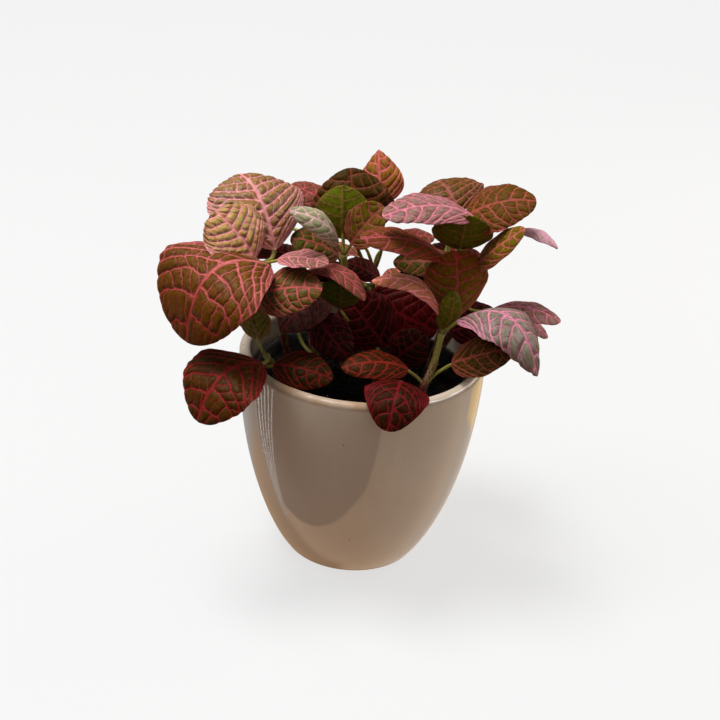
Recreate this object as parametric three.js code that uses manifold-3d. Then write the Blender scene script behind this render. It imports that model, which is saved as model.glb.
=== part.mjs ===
// Potted nerve plant: a glazed cover pot, the thin grower's pot and soil inside it, and its leafy stems.
// Millimetres, +Z up. The origin is the middle of the cover pot's flat foot.

import * as THREE from 'three';
import { mergeVertices } from 'three/addons/utils/BufferGeometryUtils.js';
import Module from 'manifold-3d';

const wasm = await Module();
wasm.setup();

// ---------------------------------------------------------------- driving dimensions

const POT_HEIGHT = 118;
const POT_RIM_RADIUS = 65;
const POT_FOOT_RADIUS = 36;
const POT_WALL = 6;
const POT_FLOOR = 8;
const POT_BELLY = { rise: 2.1, swell: 0.8 };
const POT_SIDES = 40;
const POT_OUTSIDE_SHARES = [0, 0.04, 0.12, 0.24, 0.4, 0.6, 0.8, 1];
const POT_INSIDE_SHARES = [1, 0.6, 0.32, 0.14, 0.04, 0];
const POT_LIP_TURNS = [45, 90, 135];

const SEAT_GAP = 0.3;
const WELD = 1e-4;

const LINER_WALL = 1.3;
const LINER_FOOT_RADIUS = 33;
const LINER_RIM_RADIUS = 56;
const LINER_HEIGHT = 98;
const LINER_SIDES = 36;

const SOIL_TOP = 99;
const SOIL_BUMP = 1.2;
const SOIL_RINGS = [0.2, 0.42, 0.64, 0.86];
const SOIL_SIDES = 30;
const SOIL_SEED = 7;

const ROOT_DEPTH = 14;
const ROOT_RISE = 1;
const ROOT_HOLE_PLAY = 0.7;
const ROOT_HOLE_SIDES = 9;
const ROOT_HOLE_CLEAR = 3.6;
const STEM_RADIUS = 2.1;
const STEM_SIDES = 6;
const STEM_STEP = 11;
const FEWEST_STEM_STEPS = 4;
const PETIOLE_RADIUS = 1.0;
const PETIOLE_SIDES = 5;
const PETIOLE_STEPS = 3;
const PETIOLE_RISE = 0.6;
const PETIOLE_APPROACH = 0.4;
const PETIOLE_SUNK_SHARE = 0.12;

const BLADE_THICKNESS = 0.7;
const BLADE_ROWS = 7;
const SMALL_BLADE_ROWS = 5;
const SMALL_BLADE_WIDTH = 25;
const BLADE_COLUMNS = 4;
const BLADE_OUTLINE = { widest: 0.47, blunt: 0.46 };
const FLATTEST_BEND = 0.001;
const EDGE_WAVE = { height: 0.9, count: 2.5, shift: 0.7 };

// ---------------------------------------------------------------- the stems and their leaves
// A stem runs from its root in the soil through the points of its path. A leaf leaves its stem at
// the path point "at". Its blade goes from base to tip, its upper side looks along face, its midrib
// rises by arch above the chord, and curl says how far its left and right sides bend down, in degrees.
// A leaf may also give its own widest place along the midrib and how pointed its ends are, as blunt.

const STEMS = [
  {
    name: 'stem_left',
    root: [-38, 2],
    path: [[-42, -2, 122], [-48, -6, 148], [-52, -10, 166]],
    leaves: [
      { at: 2, base: [-50, -15, 167], tip: [-83, -50, 137], width: 68, widest: 0.55,
        face: [-3, -4, 9], arch: 23, curl: [20, 0] },
      { at: 2, base: [-57, -14, 170], tip: [-78, -8, 191], width: 43, widest: 0.5,
        face: [5, -8, 6], arch: 3, curl: [-15, 20] },
      { at: 2, base: [-48, -4, 171], tip: [-68, 28, 199], width: 56, widest: 0.56,
        face: [3, -7, 7], arch: 10, curl: [20, 30] },
      { at: 2, base: [-45, -18, 172], tip: [-20, -26, 174], width: 20,
        face: [0, 0, 9], arch: 2, curl: [-10, 20] },
      { at: 1, base: [-55, -24, 153], tip: [-22, -34, 163], width: 27,
        face: [0, -6, 8], arch: 5, curl: [25, 25] },
    ],
  },
  {
    name: 'stem_left_low',
    root: [-43, -15],
    path: [[-45, -19, 112], [-49, -26, 122]],
    leaves: [
      { at: 1, base: [-50, -40, 125], tip: [-77, -65, 105], width: 45, widest: 0.52,
        face: [-2, -4, 9], arch: 13, curl: [20, 5] },
      { at: 0, base: [-44, -38, 123], tip: [-14, -47, 122], width: 20,
        face: [0, -5, 7], arch: 4, curl: [20, 30] },
      { at: 1, base: [-53, -22, 129], tip: [-62, -24, 150], width: 22,
        face: [3, 8, 4], arch: 1, curl: [-10, -10] },
    ],
  },
  {
    name: 'stem_middle',
    root: [-10, 10],
    path: [[-11, 8, 122], [-12, 4, 150], [-13, -1, 170]],
    leaves: [
      { at: 2, base: [-16, -4, 177], tip: [-40, -20, 198], width: 17,
        face: [6, -6, 9], arch: 6, curl: [50, 30] },
      { at: 2, base: [-14, 1, 178], tip: [-16, 6, 204], width: 30,
        face: [0, 9, 2], arch: -3, curl: [-25, -25] },
      { at: 2, base: [-10, -4, 177], tip: [5, -6, 199], width: 19,
        face: [-3, -7, 4], arch: 2, curl: [-10, -10] },
      { at: 1, base: [-32, -10, 163], tip: [-1, -28, 157], width: 15,
        face: [1, 0, 9], arch: 8, curl: [-10, 30] },
      { at: 1, base: [-16, 12, 164], tip: [-41, 6, 174], width: 24,
        face: [0, -6, 8], arch: 4, curl: [25, 25] },
    ],
  },
  {
    name: 'stem_middle_back',
    root: [2, 30],
    path: [[3, 31, 122], [3, 30, 149]],
    leaves: [
      { at: 1, base: [-8, 19, 170], tip: [-13, 26, 207], width: 46,
        face: [0, -8, 3], arch: 7, curl: [30, 30] },
      { at: 1, base: [6, 30, 187], tip: [2, 45, 212], width: 24, blunt: 0.75, widest: 0.42,
        face: [-2, -7, 4], arch: 3, curl: [20, 20] },
      { at: 1, base: [-14, 30, 178], tip: [-44, 34, 193], width: 22,
        face: [0, -4, 9], arch: 3, curl: [20, 20] },
      { at: 1, base: [13, 32, 168], tip: [34, 37, 168], width: 14,
        face: [0, -4, 9], arch: 2, curl: [20, 20] },
    ],
  },
  {
    name: 'stem_right',
    root: [36, 12],
    path: [[40, 8, 122], [43, 4, 150], [45, 4, 172], [46, 6, 188]],
    leaves: [
      { at: 3, base: [50, 0, 195], tip: [5, -22, 199], width: 27,
        face: [-1, -2, 9], arch: 6, curl: [35, 0] },
      { at: 3, base: [43, 14, 193], tip: [30, 37, 200], width: 38,
        face: [-1, -4, 9], arch: 5, curl: [25, 25] },
      { at: 3, base: [50, 9, 192], tip: [80, 3, 204], width: 28,
        face: [-1, -5, 9], arch: 5, curl: [25, 25] },
      { at: 2, base: [45, 0, 177], tip: [46, -9, 198], width: 32,
        face: [0, 8, 4], arch: -2, curl: [-20, -20] },
      { at: 2, base: [55, -2, 172], tip: [77, -14, 195], width: 18,
        face: [-6, -6, 8], arch: 2, curl: [15, 20] },
      { at: 2, base: [37, 0, 173], tip: [-5, -30, 190], width: 22,
        face: [0, -4, 9], arch: 5, curl: [30, 20] },
      { at: 1, base: [47, -7, 142], tip: [43, -6, 178], width: 35, widest: 0.62,
        face: [1, -9, 2], arch: 4, curl: [30, 30] },
    ],
  },
  {
    name: 'stem_right_low',
    root: [31, -30],
    path: [[32, -32, 114], [36, -26, 123], [39, -20, 138]],
    leaves: [
      { at: 0, base: [23, -34, 124], tip: [-10, -44, 127], width: 20,
        face: [0, -4, 9], arch: 5, curl: [30, 25] },
      { at: 0, base: [45, -28, 126], tip: [74, -42, 144], width: 24,
        face: [-2, -6, 8], arch: 1, curl: [10, 10] },
      { at: 2, base: [46, -22, 147], tip: [85, -52, 134], width: 42, blunt: 0.66,
        face: [4, -3, 9], arch: 19, curl: [35, 35] },
      { at: 2, base: [38, -18, 148], tip: [2, -22, 165], width: 18,
        face: [2, -1, 9], arch: 10, curl: [40, 20] },
    ],
  },
  {
    name: 'stem_front',
    root: [14, -34],
    path: [[17, -36, 110], [20, -38, 118]],
    leaves: [
      { at: 1, base: [20, -46, 123], tip: [14, -77, 112], width: 34,
        face: [0, -5, 9], arch: 9, curl: [30, 30] },
    ],
  },
  {
    name: 'stem_middle_low',
    root: [8, -8],
    path: [[8, -8, 112], [7, -6, 124]],
    leaves: [
      { at: 1, base: [6, 2, 126], tip: [-8, -8, 150], width: 30,
        face: [-1, -7, 4], arch: 4, curl: [20, 20] },
      { at: 1, base: [29, 4, 128], tip: [8, -6, 152], width: 32,
        face: [0, -8, 4], arch: 4, curl: [20, 20] },
      { at: 0, base: [14, -12, 119], tip: [30, -17, 137], width: 22,
        face: [-1, -8, 3], arch: 3, curl: [20, 20] },
    ],
  },
  {
    name: 'stem_left_middle',
    root: [-24, -4],
    path: [[-25, -3, 112], [-26, -2, 128]],
    leaves: [
      { at: 1, base: [-24, -6, 138], tip: [-9, -24, 125], width: 24,
        face: [-2, -8, 6], arch: 6, curl: [20, 20] },
      { at: 1, base: [-28, -6, 142], tip: [-47, -14, 136], width: 20,
        face: [0, -6, 8], arch: 6, curl: [30, 30] },
    ],
  },
  {
    name: 'stem_right_back',
    root: [38, 22],
    path: [[48, 24, 120], [52, 20, 138], [56, 15, 164]],
    leaves: [
      { at: 1, base: [66, 4, 143], tip: [100, -8, 144], width: 20,
        face: [0, -2, 9], arch: 5, curl: [30, 30] },
      { at: 1, base: [70, 14, 138], tip: [97, 6, 128], width: 16,
        face: [2, -2, 9], arch: 4, curl: [20, 20] },
      { at: 2, base: [74, 8, 186], tip: [95, 2, 180], width: 13, blunt: 0.7,
        face: [0, -1, 9], arch: 4, curl: [30, 30] },
      { at: 0, base: [60, 36, 121], tip: [92, 54, 106], width: 34,
        face: [1, 1, 9], arch: 8, curl: [30, 30] },
      { at: 0, base: [52, 44, 122], tip: [62, 80, 106], width: 34,
        face: [3, 3, 9], arch: 9, curl: [30, 30] },
      { at: 2, base: [48, 22, 160], tip: [13, 28, 154], width: 18,
        face: [0, -5, 9], arch: 2, curl: [20, 20] },
    ],
  },
  {
    name: 'stem_back_left',
    root: [-28, 32],
    path: [[-32, 36, 122], [-36, 40, 148], [-38, 43, 164]],
    leaves: [
      { at: 2, base: [-44, 46, 166], tip: [-80, 58, 157], width: 36,
        face: [-1, 0, 9], arch: 8, curl: [30, 30] },
      { at: 2, base: [-36, 50, 168], tip: [-42, 84, 158], width: 36,
        face: [0, 2, 9], arch: 8, curl: [30, 30] },
      { at: 1, base: [-44, 50, 146], tip: [-70, 74, 132], width: 34,
        face: [-1, 1, 9], arch: 8, curl: [30, 30] },
      { at: 1, base: [-28, 46, 150], tip: [-6, 62, 146], width: 30,
        face: [0, 1, 9], arch: 6, curl: [30, 30] },
      { at: 0, base: [-40, 44, 124], tip: [-62, 68, 112], width: 34,
        face: [-2, 3, 9], arch: 10, curl: [30, 30] },
    ],
  },
  {
    name: 'stem_back',
    root: [4, 42],
    path: [[4, 47, 116], [4, 50, 130]],
    leaves: [
      { at: 1, base: [-2, 54, 132], tip: [-24, 78, 124], width: 34,
        face: [-1, 2, 9], arch: 8, curl: [30, 30] },
      { at: 1, base: [12, 54, 132], tip: [34, 78, 124], width: 34,
        face: [1, 2, 9], arch: 8, curl: [30, 30] },
      { at: 0, base: [4, 56, 121], tip: [6, 88, 108], width: 34,
        face: [0, 3, 9], arch: 9, curl: [30, 30] },
    ],
  },
  {
    name: 'stem_back_right',
    root: [26, 34],
    path: [[34, 40, 124], [41, 45, 150], [44, 48, 168]],
    leaves: [
      { at: 2, base: [38, 52, 171], tip: [18, 74, 168], width: 32,
        face: [0, 1, 9], arch: 7, curl: [30, 30] },
      { at: 2, base: [50, 52, 171], tip: [76, 66, 164], width: 34,
        face: [1, 1, 9], arch: 7, curl: [30, 30] },
      { at: 1, base: [44, 54, 150], tip: [52, 84, 140], width: 34,
        face: [1, 3, 9], arch: 8, curl: [30, 30] },
    ],
  },
];

// ---------------------------------------------------------------- solids

// A copy with only positions, whose shared points are merged.
function welded(geometry) {
  const bare = geometry.clone();
  bare.deleteAttribute('normal');
  bare.deleteAttribute('uv');
  return mergeVertices(bare, WELD);
}

function toManifold(geometry) {
  const merged = welded(geometry);
  return new wasm.Manifold(new wasm.Mesh({
    numProp: 3,
    vertProperties: new Float32Array(merged.attributes.position.array),
    triVerts: new Uint32Array(merged.index.array),
  }));
}

function toGeometry(solid) {
  const mesh = solid.getMesh();
  const geometry = new THREE.BufferGeometry();
  geometry.setAttribute('position', new THREE.BufferAttribute(new Float32Array(mesh.vertProperties), 3));
  geometry.setIndex(new THREE.BufferAttribute(new Uint32Array(mesh.triVerts), 1));
  return geometry;
}

function piece(name, geometry, material) {
  const mesh = new THREE.Mesh(geometry, material);
  mesh.name = name;
  return mesh;
}

// A lathe turns about Y, so the turned shape is stood up to have its axis along Z.
function turned(profile, sides) {
  const points = profile.map(([radius, height]) => new THREE.Vector2(radius, height));
  return new THREE.LatheGeometry(points, sides).rotateX(Math.PI / 2);
}

function tube(curve, radius, sides, steps) {
  const section = new THREE.Shape();
  for (let side = 0; side < sides; side += 1) {
    const angle = (2 * Math.PI * side) / sides;
    const x = radius * Math.cos(angle);
    const y = radius * Math.sin(angle);
    if (side === 0) {
      section.moveTo(x, y);
    } else {
      section.lineTo(x, y);
    }
  }
  return new THREE.ExtrudeGeometry(section, { steps, extrudePath: curve });
}

// ---------------------------------------------------------------- materials

function glaze() {
  return new THREE.MeshStandardMaterial({ color: 0xd9d2c6, roughness: 0.15, metalness: 0 });
}

function blackPlastic() {
  return new THREE.MeshStandardMaterial({ color: 0x141414, roughness: 0.55, metalness: 0 });
}

function pottingMix() {
  return new THREE.MeshStandardMaterial({ color: 0x1b130e, roughness: 0.95, metalness: 0 });
}

function leafTissue() {
  return new THREE.MeshStandardMaterial({ color: 0x8a4038, roughness: 0.5, metalness: 0 });
}

// ---------------------------------------------------------------- the cover pot

function potRadius(height) {
  const { rise, swell } = POT_BELLY;
  const share = height / POT_HEIGHT;
  return POT_FOOT_RADIUS + (POT_RIM_RADIUS - POT_FOOT_RADIUS) * (1 - (1 - share) ** rise) ** swell;
}

function coverPot() {
  const lip = POT_WALL / 2;
  const shoulder = POT_HEIGHT - lip;
  const profile = [[0, 0]];
  for (const share of POT_OUTSIDE_SHARES) profile.push([potRadius(share * shoulder), share * shoulder]);
  for (const turn of POT_LIP_TURNS) {
    const angle = THREE.MathUtils.degToRad(turn);
    const middle = potRadius(shoulder) - lip;
    profile.push([middle + lip * Math.cos(angle), shoulder + lip * Math.sin(angle)]);
  }
  for (const share of POT_INSIDE_SHARES) {
    const height = POT_FLOOR + share * (shoulder - POT_FLOOR);
    profile.push([potRadius(height) - POT_WALL, height]);
  }
  profile.push([0, POT_FLOOR]);
  return piece('cover_pot', turned(profile, POT_SIDES), glaze());
}

// ---------------------------------------------------------------- the grower's pot and the soil

const LINER_BOTTOM = POT_FLOOR + SEAT_GAP;

function linerRadius(height) {
  const share = (height - LINER_BOTTOM) / LINER_HEIGHT;
  return LINER_FOOT_RADIUS + (LINER_RIM_RADIUS - LINER_FOOT_RADIUS) * share;
}

function growersPot() {
  const top = LINER_BOTTOM + LINER_HEIGHT;
  const floor = LINER_BOTTOM + LINER_WALL;
  const profile = [
    [0, LINER_BOTTOM],
    [linerRadius(LINER_BOTTOM), LINER_BOTTOM],
    [linerRadius(top), top],
    [linerRadius(top) - LINER_WALL, top],
    [linerRadius(floor) - LINER_WALL, floor],
    [0, floor],
  ];
  return piece('growers_pot', turned(profile, LINER_SIDES), blackPlastic());
}

// The soil's top is a low uneven mound: each ring rises and falls by a fixed draw.
function soilMound() {
  const draw = seededDraw(SOIL_SEED);
  const floor = LINER_BOTTOM + LINER_WALL + SEAT_GAP;
  const reach = linerRadius(SOIL_TOP) - LINER_WALL - SEAT_GAP;
  const profile = [[0, floor], [linerRadius(floor) - LINER_WALL - SEAT_GAP, floor], [reach, SOIL_TOP]];
  for (const share of [...SOIL_RINGS].reverse()) profile.push([reach * share, SOIL_TOP]);
  profile.push([0, SOIL_TOP]);
  const mound = welded(turned(profile, SOIL_SIDES));
  const place = mound.attributes.position;
  for (let index = 0; index < place.count; index += 1) {
    const radius = Math.hypot(place.getX(index), place.getY(index));
    const onTop = place.getZ(index) > SOIL_TOP - 1 && radius < reach - 1;
    if (onTop) place.setZ(index, SOIL_TOP + SOIL_BUMP * (2 * draw() - 1));
  }
  return mound;
}

function rootHole([x, y]) {
  const radius = STEM_RADIUS + ROOT_HOLE_PLAY;
  const depth = ROOT_DEPTH + SEAT_GAP;
  const height = depth + ROOT_HOLE_CLEAR;
  const hole = new THREE.CylinderGeometry(radius, radius, height, ROOT_HOLE_SIDES).rotateX(Math.PI / 2);
  return hole.translate(x, y, SOIL_TOP - depth + height / 2);
}

function soil() {
  let solid = toManifold(soilMound());
  for (const stem of STEMS) solid = solid.subtract(toManifold(rootHole(stem.root)));
  return piece('soil', toGeometry(solid), pottingMix());
}

// A small repeatable random draw between 0 and 1.
function seededDraw(seed) {
  const multiplier = 48271;
  const modulus = 2147483647;
  let state = seed;
  return () => {
    state = (state * multiplier) % modulus;
    return state / modulus;
  };
}

// ---------------------------------------------------------------- leaves

// One point of a blade's middle surface: u runs from base to tip and v across, from -1 to 1.
function bladePoint(leaf, u, v) {
  const base = new THREE.Vector3(...leaf.base);
  const tip = new THREE.Vector3(...leaf.tip);
  const chord = tip.clone().sub(base);
  const forward = chord.clone().normalize();
  const up = new THREE.Vector3(...leaf.face);
  up.addScaledVector(forward, -up.dot(forward)).normalize();
  const side = up.clone().cross(forward);
  const crest = base.clone().addScaledVector(chord, 0.5).addScaledVector(up, 2 * leaf.arch);

  const middle = new THREE.QuadraticBezierCurve3(base, crest, tip);
  const normal = middle.getTangent(u).cross(side);
  const half = (leaf.width / 2) * bladeOutline(leaf, u);
  const bend = THREE.MathUtils.degToRad(v >= 0 ? leaf.curl[0] : leaf.curl[1]) || FLATTEST_BEND;
  const reach = (Math.sign(v) * half * Math.sin(bend * Math.abs(v))) / bend;
  const drop = (half * (1 - Math.cos(bend * Math.abs(v)))) / bend;
  const wave = EDGE_WAVE.height * v * v * Math.sin(Math.PI * u) * Math.sin(wavePhase(leaf, u, v));
  return middle.getPoint(u).addScaledVector(side, reach).addScaledVector(normal, wave - drop);
}

// The blade's half width along its midrib, as a share of its greatest half width.
function bladeOutline(leaf, u) {
  const { widest, blunt } = { ...BLADE_OUTLINE, ...leaf };
  const skew = Math.log(0.5) / Math.log(widest);
  return Math.sin(Math.PI * u ** skew) ** blunt;
}

// Where the edge's waves start, different on every leaf and on its two sides.
function wavePhase(leaf, u, v) {
  const [x, y, z] = leaf.base;
  return 2 * Math.PI * EDGE_WAVE.count * u + (v < 0 ? Math.PI : 0) + EDGE_WAVE.shift * (x + y + z);
}

// The blade's rows crowd towards base and tip, where its outline turns fastest.
function rowShare(row, rowCount) {
  return (1 - Math.cos((Math.PI * row) / rowCount)) / 2;
}

// A blade is one thin body: its two faces are split into triangles alike, and a rim joins them.
function blade(leaf) {
  const rowCount = leaf.width < SMALL_BLADE_WIDTH ? SMALL_BLADE_ROWS : BLADE_ROWS;
  const rows = [];
  for (let row = 0; row <= rowCount; row += 1) {
    const u = rowShare(row, rowCount);
    const isEnd = row === 0 || row === rowCount;
    const spread = isEnd ? [0] : columnShares();
    rows.push(spread.map((v) => bladePoint(leaf, u, v)));
  }
  const faces = bladeFaces(rows);
  const middle = rows.flat();
  const normals = vertexNormals(middle, faces);
  const count = middle.length;
  const positions = [];
  for (const lift of [BLADE_THICKNESS / 2, -BLADE_THICKNESS / 2]) {
    middle.forEach((point, index) => {
      positions.push(...point.clone().addScaledVector(normals[index], lift).toArray());
    });
  }
  const triangles = [];
  for (const [a, b, c] of faces) triangles.push(a, b, c, a + count, c + count, b + count);
  for (const [a, b] of bladeRim(rows)) triangles.push(b, a, a + count, b, a + count, b + count);
  const geometry = new THREE.BufferGeometry();
  geometry.setAttribute('position', new THREE.Float32BufferAttribute(positions, 3));
  geometry.setIndex(triangles);
  return geometry;
}

function columnShares() {
  const shares = [];
  for (let column = 0; column <= BLADE_COLUMNS; column += 1) shares.push((2 * column) / BLADE_COLUMNS - 1);
  return shares;
}

function rowStarts(rows) {
  let next = 0;
  return rows.map((row) => {
    const start = next;
    next += row.length;
    return start;
  });
}

// The triangles of the middle surface, seen with the upper side towards the viewer.
function bladeFaces(rows) {
  const starts = rowStarts(rows);
  const lastRow = rows.length - 1;
  const faces = [];
  for (let row = 0; row < lastRow; row += 1) {
    for (let column = 0; column < BLADE_COLUMNS; column += 1) {
      const near = starts[row] + column;
      const far = starts[row + 1] + column;
      if (row === 0) {
        faces.push([starts[0], far + 1, far]);
      } else if (row === lastRow - 1) {
        faces.push([near, near + 1, starts[lastRow]]);
      } else if (column < BLADE_COLUMNS / 2) {
        faces.push([near, near + 1, far + 1], [near, far + 1, far]);
      } else {
        faces.push([near, near + 1, far], [near + 1, far + 1, far]);
      }
    }
  }
  return faces;
}

// The edges round the blade, in the order that its upper triangles meet them.
function bladeRim(rows) {
  const starts = rowStarts(rows);
  const lastColumn = (row) => starts[row] + rows[row].length - 1;
  const rim = [];
  for (let row = 0; row < rows.length - 1; row += 1) {
    rim.push([lastColumn(row), lastColumn(row + 1)]);
    rim.push([starts[row + 1], starts[row]]);
  }
  return rim;
}

function vertexNormals(points, faces) {
  const normals = points.map(() => new THREE.Vector3());
  for (const [a, b, c] of faces) {
    const first = points[b].clone().sub(points[a]);
    const second = points[c].clone().sub(points[a]);
    const normal = first.cross(second);
    for (const index of [a, b, c]) normals[index].add(normal);
  }
  return normals.map((normal) => normal.normalize());
}

// ---------------------------------------------------------------- stems

// The root stands straight in its hole, and the stem then follows its path.
function stemCurve(stem) {
  const [x, y] = stem.root;
  const heights = [-ROOT_DEPTH, -ROOT_DEPTH / 2, ROOT_RISE];
  const rooted = heights.map((height) => new THREE.Vector3(x, y, SOIL_TOP + height));
  const above = stem.path.map((point) => new THREE.Vector3(...point));
  return new THREE.CatmullRomCurve3([...rooted, ...above], false, 'centripetal');
}

// A petiole leaves the stem, swings into the leaf's own direction and sinks into the midrib.
function petioleCurve(stem, leaf) {
  const start = new THREE.Vector3(...stem.path[leaf.at]);
  const base = bladePoint(leaf, 0, 0);
  const inside = bladePoint(leaf, PETIOLE_SUNK_SHARE, 0);
  const heading = inside.clone().sub(base).normalize();
  const approach = base.clone().addScaledVector(heading, -PETIOLE_APPROACH * base.distanceTo(start));
  const rise = start.clone().lerp(approach, PETIOLE_RISE);
  return new THREE.CatmullRomCurve3([start, rise, base, inside], false, 'centripetal');
}

function leafyStem(stem) {
  const curve = stemCurve(stem);
  const steps = Math.max(FEWEST_STEM_STEPS, Math.round(curve.getLength() / STEM_STEP));
  let solid = toManifold(tube(curve, STEM_RADIUS, STEM_SIDES, steps));
  for (const leaf of stem.leaves) {
    const petiole = tube(petioleCurve(stem, leaf), PETIOLE_RADIUS, PETIOLE_SIDES, PETIOLE_STEPS);
    solid = solid.add(toManifold(petiole));
    solid = solid.add(toManifold(blade(leaf)));
  }
  return piece(stem.name, toGeometry(solid), leafTissue());
}

// ---------------------------------------------------------------- the whole plant

const plant = new THREE.Group();
plant.add(coverPot(), growersPot(), soil());
for (const stem of STEMS) plant.add(leafyStem(stem));

export default plant;
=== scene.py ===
"""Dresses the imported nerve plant: glazed cover pot, grower's pot, potting mix and thirteen leafy stems."""

import math

import bpy
import numpy as np
from mathutils import Matrix, Vector


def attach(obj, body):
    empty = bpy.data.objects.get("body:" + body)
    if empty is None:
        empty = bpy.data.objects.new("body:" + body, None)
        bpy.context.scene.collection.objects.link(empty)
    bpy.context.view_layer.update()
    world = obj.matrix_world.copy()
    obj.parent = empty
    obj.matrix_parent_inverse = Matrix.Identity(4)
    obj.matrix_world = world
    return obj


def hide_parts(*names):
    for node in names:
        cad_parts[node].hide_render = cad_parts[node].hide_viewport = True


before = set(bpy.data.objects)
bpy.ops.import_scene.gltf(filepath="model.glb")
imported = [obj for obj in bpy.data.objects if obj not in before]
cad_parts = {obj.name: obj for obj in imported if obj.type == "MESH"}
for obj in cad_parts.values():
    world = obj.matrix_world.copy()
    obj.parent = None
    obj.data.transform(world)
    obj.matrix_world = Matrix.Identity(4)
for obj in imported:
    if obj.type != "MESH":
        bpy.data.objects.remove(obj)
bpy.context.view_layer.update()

bl_info = {
    "name": "Potted nerve plant",
    "version": (1, 0, 0),
    "blender": (4, 5, 0),
    "location": "3D View > Sidebar > Nerve plant",
    "description": "Builds the pots, the potting mix and the veined leaves of a potted nerve plant",
    "category": "Object",
}

MM = 0.001
SOIL_TOP = 99.0  # height of the potting mix, in millimetres
FAR_OFF = 9.0  # a distance in millimetres at which a vein leaves no trace


# -------- the plant's stems and leaves, in millimetres
# A stem runs from its root in the soil through its path. A leaf leaves the stem at path point `at`. Its blade
# goes from base to tip, looks along face, rises by arch above its chord and curls down by degrees at both
# sides, or at left and right. It is widest at a share of its length, and its ends can be blunt and its cells
# swollen. Its look can fade into another near the tip. `veins` counts the side veins on each side, and `lean`
# says how far they lean towards the tip.

def leaf(at, base, tip, width, face, arch, curl, look,
         widest=0.47, blunt=0.46, swell=0.7, fade=None, veins=None, lean=0.46):
    curl = curl if isinstance(curl, tuple) else (curl, curl)
    veins = veins or (5.5 if width > 30 else 5)
    return {
        "at": at, "base": base, "tip": tip, "width": width, "face": face, "arch": arch, "curl": curl,
        "look": look, "fade": fade or look, "widest": widest, "blunt": blunt, "swell": swell,
        "veins": veins, "lean": lean,
    }


def stem(root, path, *leaves):
    return {"root": root, "path": path, "leaves": leaves}


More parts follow.
